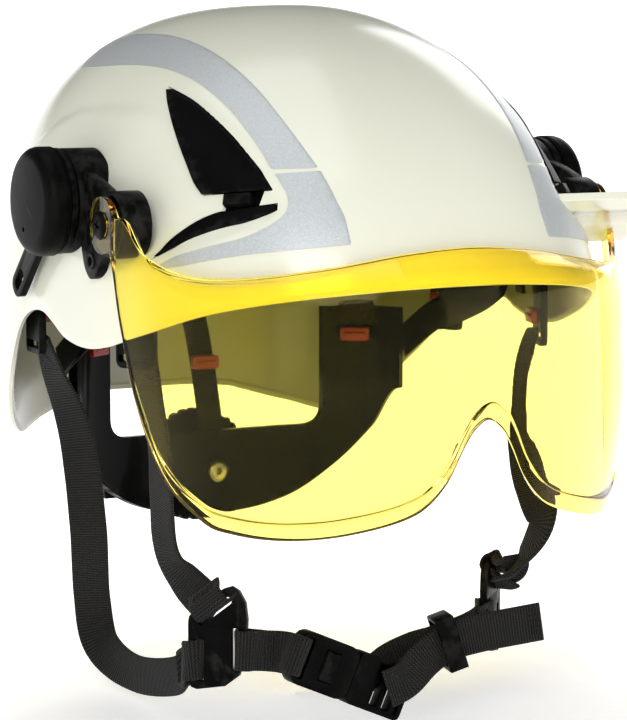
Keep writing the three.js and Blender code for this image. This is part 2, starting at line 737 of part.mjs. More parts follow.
function lockingLever() {
  const [reachY, reachZ] = LEVER_REACH;
  const ring = SPIGOT_RADIUS + GAP + LEVER_RING;
  const half = LEVER_WIDTH / 2;
  const length = Math.hypot(reachY, reachZ);
  const arm = roundedRectangle(-half, half, -length, 0, half - 0.5);
  const slot = roundedRectangle(-half + 2.6, half - 2.6, -length + 3, -length + 13, 2);
  const blade = cut(
    frontPlate(arm, -LEVER_THICKNESS / 2, LEVER_THICKNESS / 2),
    frontPlate(slot, -LEVER_THICKNESS, LEVER_THICKNESS),
  );
  blade.rotateZ(-Math.PI / 2).rotateX(Math.atan2(reachY, -reachZ));
  const middle = -(LEVER_INNER_X + LEVER_OUTER_X) / 2;
  blade.translate(middle, 0, 0);
  const hub = rod("x", ring, -LEVER_OUTER_X, -LEVER_INNER_X);
  const bore = rod("x", SPIGOT_RADIUS + GAP, -LEVER_OUTER_X - 5, -LEVER_INNER_X + 5, 16);
  return cut(join(blade, hub), bore).translate(0, CAP_Y, CAP_Z);
}

function sideCap() {
  const back = -LEVER_OUTER_X - GAP;
  const face = -CAP_FACE_X;
  const cup = new THREE.LatheGeometry(
    [
      [0, face],
      [CAP_RADIUS - CAP_EDGE, face],
      [CAP_RADIUS - CAP_EDGE * 0.3, face + CAP_EDGE * 0.3],
      [CAP_RADIUS, face + CAP_EDGE],
      [CAP_RADIUS, back],
      [CAP_RADIUS - CAP_WALL, back],
      [CAP_RADIUS - CAP_WALL, face + CAP_EDGE],
      [SPIGOT_RADIUS + GAP + 2, face + CAP_WALL],
      [0, face + CAP_WALL],
    ].map(([r, x]) => new THREE.Vector2(r, x)),
    24,
  );
  return closedFrom(cup.rotateZ(-Math.PI / 2)).translate(0, CAP_Y, CAP_Z);
}

const BARREL_OUTER_X = ARM_X - VISOR_WALL - GAP - BARREL_INSET;

function visorBracket() {
  const outer = -BARREL_OUTER_X;
  const web = sidePlate(
    [
      [PIVOT_Y, PIVOT_Z + BARREL_RADIUS - 2],
      [PIVOT_Y + 12, PIVOT_Z + BARREL_RADIUS + 3],
      [CAP_Y - CAP_RADIUS * 0.72, CAP_Z + CAP_RADIUS * 0.6],
      [CAP_Y - CAP_RADIUS * 0.72, CAP_Z - CAP_RADIUS * 0.7],
      [PIVOT_Y + 22, PIVOT_Z - 20],
      [PIVOT_Y + 15, PIVOT_Z - 21],
      [PIVOT_Y + 10, PIVOT_Z - 14],
      [PIVOT_Y, PIVOT_Z - BARREL_RADIUS + 2],
    ],
    outer,
    outer + BRACKET_THICKNESS,
  );
  const barrel = rod("x", BARREL_RADIUS, outer, outer + BARREL_DEPTH + 3);
  const hollow = rod("x", BARREL_RADIUS - BARREL_WALL, outer - 1, outer + BARREL_DEPTH - 2);
  const post = rod("x", PIN_RADIUS + 2.6, outer, outer + BARREL_DEPTH, 16);
  const bore = rod("x", PIN_RADIUS + GAP, outer - 1, outer + BARREL_DEPTH - 1, 16);
  const place = (g) => g.translate(0, PIVOT_Y, PIVOT_Z);
  const screwHole = rod("x", 2, outer - 1, outer + 20, 12);
  const body = cut(join(web, place(barrel)), place(hollow));
  return cut(
    join(body, place(post)),
    place(bore),
    screwHole.translate(0, PIVOT_Y + 18, PIVOT_Z - 15),
    rod("x", CAP_RADIUS + GAP, -140, -60).translate(0, CAP_Y, CAP_Z),
    clearOfShell,
  );
}

function hingePin() {
  const shaft = rod("x", PIN_RADIUS, -ARM_X - GAP - 0.2, -BARREL_OUTER_X + BARREL_DEPTH - 2, 16);
  const head = rod("x", PIN_HEAD_RADIUS, -ARM_X - GAP - PIN_HEAD, -ARM_X - GAP);
  return join(shaft, head).translate(0, PIVOT_Y, PIVOT_Z);
}

// ---------------------------------------------------------------- visor

const visorAngles = () => {
  const lens = [0, 3, 6, 9, 12, 16, 20, 25, 30, 36, 42, 47, 51, 54.5, 57.5, 60, 62, EYE_START];
  const eyeEnd = THREE.MathUtils.radToDeg(Math.acos(-(PIVOT_Y + EYE_RADIUS) / VISOR_REACH));
  const steps = 6;
  for (let k = 1; k <= steps; k++) lens.push(EYE_START + ((eyeEnd - EYE_START) * k) / steps);
  return [...lens.slice(1).reverse().map((a) => -a), ...lens];
};

// Height of the hinge eye's rim above or below its centre at a distance along Y.
function eyeHalfHeight(y) {
  return Math.sqrt(Math.max(EYE_RADIUS ** 2 - (y - PIVOT_Y) ** 2, 0.16));
}

function visorProfile(degrees) {
  const around = Math.abs(degrees);
  const x = VISOR_HALF_WIDTH * Math.sin(radians(around));
  const y = -VISOR_REACH * Math.cos(radians(around));
  let top = through(VISOR_TOP, around);
  const room = Math.hypot(x, y) - shellRadius(Math.atan2(x, -y), top) - LEDGE_CLEARANCE;
  const ledge = through(LEDGE_SHARE, around) * (room - VISOR_WALL);
  let bottom = through(VISOR_EDGE, around);
  const onEye = y > PIVOT_Y - EYE_RADIUS;
  if (onEye) {
    const blend = clamp((y - PIVOT_Y + EYE_RADIUS) / EYE_RADIUS, 0, 1);
    const half = eyeHalfHeight(y);
    top = PIVOT_Z + Math.max(half, (1 - blend) * (top - PIVOT_Z));
    bottom = PIVOT_Z - Math.max(half, (1 - blend) * (PIVOT_Z - bottom));
  }
  const bend = top - Math.min(ledge * LEDGE_SLOPE, (top - bottom) * 0.3);
  const lensShape = clamp((EYE_START - around) / 20, 0, 1);
  const lens = [0.25, 0.5, 0.75, 0.92, 1].map((s) => ({
    out: lensShape * (VISOR_BULGE * Math.sin(Math.PI * s) - VISOR_TUCK * s ** 4),
    z: bend + (bottom - bend) * s,
  }));
  return [
    { out: -ledge, z: top },
    { out: -ledge / 2, z: (top + bend) / 2 + 0.06 * ledge },
    { out: 0, z: bend },
    ...lens,
  ];
}

function visorSheet() {
  const angles = visorAngles();
  const outline = angles.map(visorProfile);
  const surface = (i, j) => {
    const a = radians(angles[i]);
    const { out, z } = outline[i][j];
    const limit = ARM_X + Math.max(out, 0);
    const x = clamp((VISOR_HALF_WIDTH + out) * Math.sin(a), -limit, limit);
    return vec(x, -(VISOR_REACH + out) * Math.cos(a), z);
  };
  const rows = outline[0].length;
  const normal = (i, j) => {
    const i0 = Math.max(i - 1, 0);
    const i1 = Math.min(i + 1, angles.length - 1);
    const j0 = Math.max(j - 1, 0);
    const j1 = Math.min(j + 1, rows - 1);
    const across = surface(i1, j).sub(surface(i0, j));
    const down = surface(i, j1).sub(surface(i, j0));
    return down.cross(across).normalize();
  };
  const onArm = (i) => Math.abs(angles[i]) > EYE_START - 1;
  return slab(angles.length, rows, (i, j, side) => {
    const p = surface(i, j);
    if (!side) return p;
    const inward = onArm(i) ? vec(-Math.sign(angles[i]), 0, 0) : normal(i, j);
    if (inward.dot(vec(p.x, p.y, 0)) > 0) inward.negate();
    return p.addScaledVector(inward, VISOR_WALL);
  });
}

function visor() {
  const bore = rod("x", PIN_RADIUS + GAP, -ARM_X - 20, -ARM_X + 20, 16);
  const place = bore.translate(0, PIVOT_Y, PIVOT_Z);
  return cut(visorSheet(), place, mirrored(place));
}

// ---------------------------------------------------------------- headband and cradle

const browHeight = (y) => BROW_FRONT_Z - BROW_SLOPE * (y + BROW_REACH);

// A band on an ellipse in plan, from -endAngle to endAngle about the front.
function browLoop(grow, wall, height, endAngle, steps) {
  return slab(steps + 1, 2, (i, j, side) => {
    const angle = radians(endAngle * ((2 * i) / steps - 1));
    const shrink = grow - (side ? wall : 0);
    const y = -(BROW_REACH + shrink) * Math.cos(angle);
    const z = browHeight(y) + (j - 0.5) * height;
    return vec((BROW_HALF_WIDTH + shrink) * Math.sin(angle), y, z);
  });
}

function napeYoke() {
  const steps = 30;
  const plan = (x, shrink) => {
    const share = Math.abs(x / (YOKE_HALF_WIDTH - shrink)) ** YOKE_POWER;
    return (YOKE_REACH - shrink) * Math.max(1 - share, 0) ** (1 / YOKE_POWER);
  };
  const sheet = slab(steps + 1, 5, (i, j, side) => {
    const turn = ((2 * i) / steps - 1) * (Math.PI / 2) * 0.985;
    const x = YOKE_OUTER_X * Math.sin(turn);
    const low = through(YOKE_EDGE, Math.abs(x));
    const z = low + ((YOKE_TOP_Z - low) * j) / 4;
    const shrink = side ? YOKE_WALL : 0;
    return vec(x * (1 - shrink / YOKE_HALF_WIDTH), plan(x * (1 - shrink / YOKE_HALF_WIDTH), shrink), z);
  });
  const { halfWidth, bottom, corner } = YOKE_WINDOW;
  const window = frontPlate(
    roundedRectangle(-halfWidth, halfWidth, bottom, YOKE_TOP_Z + 30, corner),
    YOKE_REACH - 60,
    YOKE_REACH + 20,
  );
  const hole = rod("y", SCREW_RADIUS + GAP, 0, 120, 12).translate(0, 0, RATCHET_Z);
  const [left, right] = [-1, 1].map((s) => bridgeArm(s));
  return cut(join(sheet, left, right), window, hole);
}

// Short lug at the top of a yoke arm, where its key clips in.
function bridgeArm(side) {
  const { x, back, turn, halfWidth, halfDepth, bottom, top, drop } = LUG;
  const lug = box(-halfWidth, halfWidth, -halfDepth, halfDepth, bottom, top);
  lug.rotateZ(side * radians(-turn));
  return lug.translate(side * x, YOKE_REACH - back, YOKE_TOP_Z - drop);
}

// Cradle webbing: an arch over the crown, in the upright plane at an angle from the front.
function crownStrap(degrees, lift) {
  const { foot, top } = CRADLE;
  const reach = innerSide(HANGER_FRONT.y, foot, CRADLE.stand) / Math.sin(radians(CRADLE.turn));
  const [s, c] = [Math.sin(radians(degrees)), Math.cos(radians(degrees))];
  const stations = [0, 14, 30, 48, 68, 90, 112, 132, 150, 166, 180].map((turn) => {
    const cosine = Math.cos(radians(turn));
    const out = Math.sign(cosine) * reach * Math.abs(cosine) ** 0.85;
    const z = foot + (top + lift - foot) * Math.sin(radians(turn)) ** 0.85;
    return { at: [out * s, -out * c, z], across: [c, s, 0] };
  });
  return webbing(stations, CROWN_WEB_WIDTH, 20);
}

// ---------------------------------------------------------------- ratchet

function ratchetHousing() {
  const { halfWidth, height, front, back } = HOUSING;
  const z0 = RATCHET_Z - height / 2;
  const block = frontPlate(
    roundedRectangle(-halfWidth, halfWidth, z0, z0 + height, 6),
    front,
    back,
  );
  const rackSpace = PINION_RADIUS + GAP + RACK.height + GAP;
  const channel = box(
    -halfWidth - 5,
    halfWidth + 5,
    front + 3,
    front + 3 + RACK.thickness + 2 * GAP,
    RATCHET_Z - rackSpace,
    RATCHET_Z + rackSpace,
  );
  const shaftHole = rod("y", PINION_RADIUS, front + 4, back + 5, 16);
  const screwHole = rod("y", SCREW_RADIUS + GAP, front - 5, back + 5, 12);
  const place = (g) => g.translate(0, 0, RATCHET_Z);
  return cut(block, channel, place(shaftHole), place(screwHole));
}

const rackY = HOUSING.front + 3 + GAP;

// The upper rack runs to the wearer's left and the lower one to the right, so that a clockwise
// turn of the knob, seen from behind, draws both in.
function rack(side) {
  const inner = PINION_RADIUS + GAP;
  const x0 = side * -RACK.overlap;
  const x1 = x0 + side * RACK.length;
  const z0 = RATCHET_Z + side * inner;
  const z1 = z0 + side * RACK.height;
  return box(
    Math.min(x0, x1),
    Math.max(x0, x1),
    rackY,
    rackY + RACK.thickness,
    Math.min(z0, z1),
    Math.max(z0, z1),
  );
}

function pinion() {
  const wheel = rod("y", PINION_RADIUS - GAP, rackY, rackY + RACK.thickness, 16);
  const shaft = rod("y", PINION_RADIUS - 1, rackY, HOUSING.back + GAP, 16);
  const bore = rod("y", SCREW_RADIUS + GAP, rackY - 5, HOUSING.back + 5, 12);
  return cut(join(wheel, shaft), bore).translate(0, 0, RATCHET_Z);
}

function ratchetKnob() {
  const grips = 12;
  const shape = new THREE.Shape();
  const points = grips * 4;
  for (let k = 0; k < points; k++) {
    const angle = (2 * Math.PI * k) / points;
    const r = KNOB_RADIUS - 0.9 + 0.9 * Math.cos(grips * angle);
    if (k === 0) shape.moveTo(r, 0);
    else shape.lineTo(r * Math.cos(angle), r * Math.sin(angle));
  }
  const y0 = HOUSING.back + 2 * GAP;
  const wheel = frontPlate(shape, y0, y0 + KNOB_DEPTH);
  const socket = rod("y", SCREW_RADIUS + GAP, y0 - 5, y0 + 6, 12);
  return cut(wheel, socket).translate(0, 0, RATCHET_Z);
}

function ratchetScrew() {
  const seat = YOKE_REACH - YOKE_WALL - GAP;
  const head = rod("y", SCREW_HEAD_RADIUS, seat - SCREW_HEAD, seat, 20);
  const shank = rod("y", SCREW_RADIUS, seat - 1, HOUSING.back + 2 * GAP + 5, 12);
  const recess = rod("y", 1.6, seat - SCREW_HEAD - 1, seat - SCREW_HEAD + 1.2, 6);
  return cut(join(head, shank), recess).translate(0, 0, RATCHET_Z);
}

// ---------------------------------------------------------------- hangers and keys

// A hanger plate inside the shell, with the red key in front of its lower end.
function hangerPlate() {
  const { halfWidth, bottom, top, corner, thickness } = HANGER;
  const outline = roundedRectangle(-halfWidth, halfWidth, bottom, top, corner);
  const body = frontPlate(outline, -thickness / 2, thickness / 2);
  const eye = roundedRectangle(
    -HANGER_EYE.halfWidth,
    HANGER_EYE.halfWidth,
    HANGER_EYE.bottom,
    HANGER_EYE.top,
    1,
  );
  return cut(body, frontPlate(eye, -thickness, thickness));
}

// Its rib is on the side that faces the head: 1 towards +Y, -1 towards -Y.
function keyButton(face) {
  const { halfWidth, halfHeight, corner, thickness } = KEY;
  const outline = roundedRectangle(-halfWidth, halfWidth, -halfHeight, halfHeight, corner);
  const body = frontPlate(outline, -thickness / 2, thickness / 2);
  const reach = face * KEY_RIB.stand;
  const rib = box(
    -KEY_RIB.halfWidth,
    KEY_RIB.halfWidth,
    Math.min(0, reach),
    Math.max(0, reach),
    -KEY_RIB.halfHeight,
    KEY_RIB.halfHeight,
  );
  return join(body, rib);
}

// ---------------------------------------------------------------- chin strap hardware

// Three-way slider: a rounded frame with a slot for each leg and one for the chin strap.
function fork() {
  const outline = new THREE.Shape();
  const [start, ...rest] = FORK_OUTLINE;
  outline.moveTo(...start);
  for (const step of rest) {
    if (step.length === 2) outline.lineTo(...step);
    else outline.quadraticCurveTo(...step);
  }
  const plate = frontPlate(outline, -FORK_THICKNESS / 2, FORK_THICKNESS / 2);
  plate.scale(1, 1, SLOT_HALF / FORK_OUTLINE_SLOT);
  const w = FORK_SLOT_HALF_WIDTH;
  const slots = FORK_SLOTS.map(([x, z, turn]) =>
    frontPlate(roundedRectangle(-w, w, -SLOT_HALF, SLOT_HALF, 1.2), -FORK_THICKNESS, FORK_THICKNESS)
      .rotateY(radians(turn))
      .translate(x, 0, z),
  );
  return cut(plate, ...slots);
}

// Buckle pieces share one frame: X along the strap, Y to the back, Z across the strap.
const buckleHalf = BUCKLE.height / 2;
const BUCKLE_FRONT = -BUCKLE.depth / 2;
const THROUGH = BUCKLE.depth + 1; // a reach that passes right through the buckle

const buckleSlot = (x0, x1) =>
  frontPlate(roundedRectangle(x0, x1, -SLOT_HALF, SLOT_HALF, 1), -THROUGH, THROUGH);

function buckleSocket() {
  const outline = roundedRectangle(-SOCKET.length, 0, -buckleHalf, buckleHalf, SOCKET.corner);
  const body = frontPlate(outline, BUCKLE_FRONT, -BUCKLE_FRONT);
  const { halfThickness, halfWidth } = TONGUE;
  const mouth = box(SOCKET.mouth, 5, -halfThickness, halfThickness, -halfWidth, halfWidth);
  const pocket = box(
    BUTTON.from,
    BUTTON.to,
    -THROUGH,
    BUTTON.floor,
    -BUTTON.halfWidth,
    BUTTON.halfWidth,
  );
  return cut(body, buckleSlot(...SOCKET.strapSlot), mouth, pocket);
}

function buckleInsert() {
  const tongue = box(
    TONGUE.end + GAP,
    1,
    GAP - TONGUE.halfThickness,
    TONGUE.halfThickness - GAP,
    GAP - TONGUE.halfWidth,
    TONGUE.halfWidth - GAP,
  );
  const pocketHalf = BUTTON.halfWidth + 0.3;
  const pocket = box(
    BUTTON.from - 0.3,
    BUTTON.to + 0.3,
    -THROUGH,
    0.2,
    -pocketHalf,
    pocketHalf,
  );
  const outline = roundedRectangle(GAP, INSERT.length, -buckleHalf, buckleHalf, INSERT.corner);
  const body = frontPlate(outline, BUCKLE_FRONT, -BUCKLE_FRONT);
  const slots = INSERT.strapSlots.map((x) => buckleSlot(x, x + INSERT.slotWidth));
  const recess = box(
    INSERT_RECESS.from,
    INSERT_RECESS.to,
    -THROUGH,
    BUCKLE_FRONT + INSERT_RECESS.depth,
    -SLOT_HALF - GAP,
    SLOT_HALF + GAP,
  );
  return cut(join(body, cut(tongue, pocket)), ...slots, recess);
}

function buckleButton() {
  return box(
    BUTTON.from + GAP,
    BUTTON.to - GAP,
    BUCKLE_FRONT - BUTTON.travel,
    BUTTON.floor - BUTTON.travel,
    GAP - BUTTON.halfWidth,
    BUTTON.halfWidth - GAP,
  );
}

function strapKeeper() {
  const { length, wall, room } = KEEPER;
  const half = WEB_WIDTH / 2 + 1.6;
  const ring = box(-length / 2, length / 2, -room - wall, room + wall, -half - wall, half + wall);
  return cut(ring, box(-length, length, -room, room, -half, half));
}

// ---------------------------------------------------------------- assembly

const hat = new THREE.Group();

function placed(parent, x, y, z, turnZ = 0, tiltY = 0) {
  const group = new THREE.Group();
  group.position.set(x, y, z);
  group.rotation.order = "ZYX";
  group.rotation.z = radians(turnZ);
  group.rotation.y = radians(tiltY);
  parent.add(group);
  return group;
}

hat.add(
  named("outer_shell", outerShell(), SHELL_WHITE),
  named("visor", visor(), VISOR_YELLOW),
  named("brow_band", browLoop(0, BAND_WALL, BROW_HEIGHT, BROW_END_ANGLE, 26), BLACK_PLASTIC),
  named(
    "brow_pad",
    browLoop(-BAND_WALL - GAP, PAD_THICKNESS, PAD_HEIGHT, PAD_END_ANGLE, 18),
    PAD_FOAM,
  ),
  named("nape_yoke", napeYoke(), BLACK_PLASTIC),
  named("ratchet_housing", ratchetHousing(), BLACK_PLASTIC),
  named("ratchet_knob", ratchetKnob(), BLACK_PLASTIC),
  named("ratchet_pinion", pinion(), BLACK_PLASTIC),
  named("ratchet_screw", ratchetScrew(), STEEL),
  named("rack_R", rack(-1), BLACK_PLASTIC),
  named("rack_L", rack(1), BLACK_PLASTIC),
);

for (const [side, flip] of [
  ["R", 1],
  ["L", -1],
]) {
  const half = new THREE.Group();
  half.scale.x = flip;
  hat.add(half);
  half.add(
    named(`vent_upper_${side}`, ventCover(VENT_UPPER), BLACK_PLASTIC),
    named(`vent_lower_${side}`, ventCover(VENT_LOWER), BLACK_PLASTIC),
    named(`vent_slider_${side}`, ventSlider(), BLACK_PLASTIC),
    named(`reflector_upper_${side}`, reflectiveStrip(STRIP_UPPER), REFLECTIVE_GREY),
    named(`reflector_lower_${side}`, reflectiveStrip(STRIP_LOWER), REFLECTIVE_GREY),
    named(`adapter_base_${side}`, adapterBase(), BLACK_PLASTIC),
    named(`adapter_lever_${side}`, lockingLever(), BLACK_PLASTIC),
    named(`side_cap_${side}`, sideCap(), BLACK_PLASTIC),
    named(`visor_bracket_${side}`, visorBracket(), BLACK_PLASTIC),
    named(`hinge_pin_${side}`, hingePin(), BLACK_PLASTIC),
  );
  const front = placed(half, -FRONT_HANGER_X, HANGER_FRONT.y, HANGER_FRONT.z, HANGER_FRONT.turn);
  front.add(named(`hanger_front_${side}`, hangerPlate(), BLACK_PLASTIC));
  placed(front, 0, KEY.stand, KEY_DROP.front).add(named(`key_front_${side}`, keyButton(1), KEY_RED));
  const rear = placed(half, -REAR_HANGER_X, HANGER_REAR.y, HANGER_REAR.z, HANGER_REAR.turn);
  rear.add(named(`hanger_rear_${side}`, hangerPlate(), BLACK_PLASTIC));
  placed(rear, 0, KEY.stand, KEY_DROP.rear).add(named(`key_rear_${side}`, keyButton(1), KEY_RED));
  const nape = placed(half, -LUG.x, YOKE_REACH - LUG.back, YOKE_TOP_Z - 12, LUG.turn);
  placed(nape, 0, KEY_DROP.nape, 0).add(named(`key_nape_${side}`, keyButton(-1), KEY_RED));
  half.add(named(`band_tail_${side}`, webbing(BAND_TAIL, BAND_TAIL_HEIGHT, 6), BLACK_PLASTIC));
  const chin = placed(hat, ...FORKS[side], flip * -FORK_TURN);
  chin.scale.x = flip;
  chin.add(named(`strap_fork_${side}`, fork(), BLACK_PLASTIC));
}

placed(hat, 0, REAR_KEY.y, REAR_KEY.z).add(named("key_rear_centre", keyButton(-1), KEY_RED));
placed(hat, 0, REAR_CENTRE_Y, HANGER_REAR_CENTRE.z).add(
  named("hanger_rear_centre", hangerPlate(), BLACK_PLASTIC),
);

for (const [name, stations, width, steps] of [
  ["rear_hanger_strap", REAR_STRAP, WEB_WIDTH - 4, 12],
  ["chin_leg_rear_R", LEG_REAR_R, WEB_WIDTH, 22],
  ["chin_leg_front_R", LEG_FRONT_R, WEB_WIDTH, 16],
  ["chin_leg_front_L", LEG_FRONT_L, WEB_WIDTH, 16],
  ["buckle_strap", BUCKLE_STRAP, WEB_WIDTH, 6],
  ["load_strap", LOAD_STRAP, WEB_WIDTH, 12],
  ["tail_strap", TAIL_STRAP, WEB_WIDTH, 12],
]) {
  hat.add(named(name, webbing(stations, width, steps), WEBBING_BLACK));
}
hat.add(
  named("crown_strap_1", crownStrap(CRADLE.turn, 0), WEBBING_BLACK),
  named("crown_strap_2", crownStrap(-CRADLE.turn, WEB_THICKNESS + 2 * GAP), WEBBING_BLACK),
);

const buckle = placed(hat, BUCKLE.x, BUCKLE.y, BUCKLE.z, 0, BUCKLE.tilt);
buckle.add(
  named("buckle_socket", buckleSocket(), BLACK_PLASTIC),
  named("buckle_insert", buckleInsert(), BLACK_PLASTIC),
  named("buckle_button", buckleButton(), BLACK_PLASTIC),
);
placed(hat, KEEPER.x, KEEPER.y, KEEPER.z, KEEPER.yaw, KEEPER.tilt).add(
  named("strap_keeper", strapKeeper(), BLACK_PLASTIC),
);

export default hat;
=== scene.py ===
import math

import bmesh
import bpy
import numpy as np
from mathutils import Matrix, Vector


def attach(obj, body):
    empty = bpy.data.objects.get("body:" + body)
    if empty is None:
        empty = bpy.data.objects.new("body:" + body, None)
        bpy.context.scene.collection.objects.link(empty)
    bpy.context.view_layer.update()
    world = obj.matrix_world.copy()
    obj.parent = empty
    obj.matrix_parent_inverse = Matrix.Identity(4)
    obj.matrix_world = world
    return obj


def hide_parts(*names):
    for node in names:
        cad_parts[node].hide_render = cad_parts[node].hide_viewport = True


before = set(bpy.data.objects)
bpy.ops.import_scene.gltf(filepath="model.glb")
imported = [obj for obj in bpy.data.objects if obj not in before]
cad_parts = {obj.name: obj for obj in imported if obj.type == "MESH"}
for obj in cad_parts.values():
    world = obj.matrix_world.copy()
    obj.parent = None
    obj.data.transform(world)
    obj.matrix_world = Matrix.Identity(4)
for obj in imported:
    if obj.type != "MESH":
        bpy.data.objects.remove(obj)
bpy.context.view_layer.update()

MM = 0.001
SIDES = (("R", -1), ("L", 1))

# ---------- camera, light, floor

scene = bpy.context.scene
camera_data = bpy.data.cameras.new("camera")
camera_data.lens = 144
camera_data.sensor_width = 36
camera_data.clip_start = 0.05
camera = bpy.data.objects.new("camera", camera_data)
scene.collection.objects.link(camera)
camera.location = (-0.5612, -1.0555, 0.1346)
AIM = Vector((0.0061, -0.0066, -0.0040))
camera.rotation_euler = (AIM - camera.location).to_track_quat("-Z", "Y").to_euler()
scene.camera = camera


def softbox(name, place, aim, size, power):
    light = bpy.data.lights.new(name, "AREA")
    light.shape = "RECTANGLE"
    light.size, light.size_y = size
    light.energy = power
    lamp = bpy.data.objects.new(name, light)
    scene.collection.objects.link(lamp)
    lamp.location = place
    lamp.rotation_euler = (Vector(aim) - Vector(place)).to_track_quat("-Z", "Y").to_euler()


softbox("key", (-1.3, -1.7, 1.0), (0, -0.03, 0.05), (1.1, 1.1), 25)
softbox("front", (0.7, -2.0, 0.7), (0, -0.05, 0.03), (1.2, 1.2), 10)
softbox("side", (-1.9, 0.3, 0.5), (0, 0, 0.04), (0.8, 1.4), 2)
softbox("top", (-0.3, 0.1, 1.7), (0, 0, 0.05), (1.6, 1.2), 8)
softbox("rim", (1.5, 1.2, 0.8), (0, 0, 0.05), (0.8, 1.2), 7)

world = bpy.data.worlds.new("studio")
world.use_nodes = True
backdrop = world.node_tree.nodes["Background"]
backdrop.inputs["Color"].default_value = (1.0, 1.0, 1.0, 1)
backdrop.inputs["Strength"].default_value = 0.13
scene.world = world
scene.view_settings.view_transform = "Standard"

# ---------- materials


class Look:
    """A node material in the making: coordinates in metres in the row frame, and small node helpers."""

    def __init__(self, name):
        self.material = bpy.data.materials.new(name)
        self.material.use_nodes = True
        self.tree = self.material.node_tree
        self.shader = self.tree.nodes["Principled BSDF"]
        self.place = self.add("ShaderNodeTexCoord").outputs["Object"]

    def add(self, kind, **settings):
        node = self.tree.nodes.new(kind)
        for key, value in settings.items():
            setattr(node, key, value)
        return node

    def link(self, a, b):
        self.tree.links.new(a, b)

    def stretched(self, scale):
        mapping = self.add("ShaderNodeMapping")
        mapping.inputs["Scale"].default_value = scale
        self.link(self.place, mapping.inputs["Vector"])
        return mapping.outputs["Vector"]

    def noise(self, scale, detail=3, rough=0.5, vector=None):
        node = self.add("ShaderNodeTexNoise")
        node.inputs["Scale"].default_value = scale
        node.inputs["Detail"].default_value = detail
        node.inputs["Roughness"].default_value = rough
        self.link(vector or self.place, node.inputs["Vector"])
        return node.outputs["Fac"]

    def cells(self, scale):
        node = self.add("ShaderNodeTexVoronoi")
        node.inputs["Scale"].default_value = scale
        self.link(self.place, node.inputs["Vector"])
        return node.outputs["Distance"]

    def fit(self, value, low, high, to_low, to_high):
        node = self.add("ShaderNodeMapRange")
        self.link(value, node.inputs["Value"])
        for key, v in zip(("From Min", "From Max", "To Min", "To Max"), (low, high, to_low, to_high)):
            node.inputs[key].default_value = v
        return node.outputs["Result"]

    def blend(self, factor, a, b):
        node = self.add("ShaderNodeMix", data_type="RGBA")
        self.link(factor, node.inputs["Factor"])
        for socket, value in ((node.inputs[6], a), (node.inputs[7], b)):
            if isinstance(value, tuple):
                socket.default_value = (*value, 1)
            else:
                self.link(value, socket)
        return node.outputs[2]

    def maths(self, kind, a, b):
        node = self.add("ShaderNodeMath", operation=kind)
        for socket, value in zip(node.inputs, (a, b)):
            if isinstance(value, (int, float)):
                socket.default_value = value
            else:
                self.link(value, socket)
        return node.outputs[0]

    def worn(self):
        """1 along convex edges, broken up, as edges rub."""
        edges = self.add("ShaderNodeNewGeometry").outputs["Pointiness"]
        return self.maths(
            "MULTIPLY",
            self.fit(edges, 0.52, 0.6, 0, 1),
            self.fit(self.noise(220, 4), 0.42, 0.62, 0, 1),
        )

    def bump(self, height, distance, strength=1.0, after=None):
        node = self.add("ShaderNodeBump")
        node.inputs["Distance"].default_value = distance
        node.inputs["Strength"].default_value = strength
        self.link(height, node.inputs["Height"])
        if after is not None:
            self.link(after, node.inputs["Normal"])
        return node.outputs["Normal"]

    def set(self, **values):
        for key, value in values.items():
            socket = self.shader.inputs[key.replace("_", " ")]
            if isinstance(value, (int, float)):
                socket.default_value = value
            elif isinstance(value, tuple):
                socket.default_value = (*value, 1)
            else:
                self.link(value, socket)
        return self


def shell_look():
    look = Look("shell_ivory")
    clouds = look.noise(9, 4)
    ivory = look.blend(clouds, (0.69, 0.70, 0.58), (0.72, 0.725, 0.61))
    dust = look.fit(look.noise(700, 2, 0.7), 0.66, 0.78, 0, 0.10)
    scuffs = look.fit(look.noise(60, 5, 0.7, look.stretched((1, 9, 3))), 0.60, 0.72, 0, 1)
    colour = look.blend(dust, ivory, (0.55, 0.54, 0.45))
    # The inside, whose faces look back at the middle of the hat, is painted darker and duller: painted
    # shade for the shadow that lies inside the shell
    inside_shade_facing = look.add("ShaderNodeVectorMath", operation="DOT_PRODUCT")
    look.link(look.add("ShaderNodeNewGeometry").outputs["Normal"], inside_shade_facing.inputs[0])
    look.link(look.place, inside_shade_facing.inputs[1])
    colour = look.blend(look.fit(inside_shade_facing.outputs["Value"], -0.03, -0.01, 1, 0), colour, (0.30, 0.30, 0.235))
    peel = look.bump(look.noise(420, 2), 0.00006, 0.5)
    fine = look.bump(look.noise(2600, 2), 0.00002, 0.35, peel)
    look.set(Base_Color=colour, Normal=fine, IOR=1.5, Coat_Weight=0.25, Coat_Roughness=0.12)
    rough = look.maths("ADD", look.fit(clouds, 0.3, 0.7, 0.20, 0.27), look.maths("MULTIPLY", scuffs, 0.02))
    return look.set(Roughness=rough).material


def reflector_look():
    look = Look("reflective_film")
    beads = look.cells(1500)
    mottle = look.noise(900, 4, 0.8)
    colour = look.blend(look.fit(mottle, 0.3, 0.7, 0, 1), (0.43, 0.46, 0.47), (0.53, 0.56, 0.57))
    # Light flecks from fine noise: painted glints, as if the film's beads caught the lamps
    painted_glint_flecks = look.blend(look.fit(look.noise(3600, 1), 0.64, 0.72, 0, 0.6), colour, (0.80, 0.83, 0.85))
    look.set(Base_Color=painted_glint_flecks, Metallic=0.25, Normal=look.bump(beads, 0.00012, 0.6))
    look.set(Coat_Weight=0.3, Coat_Roughness=0.25)
    return look.set(Roughness=look.fit(mottle, 0.3, 0.7, 0.36, 0.5)).material


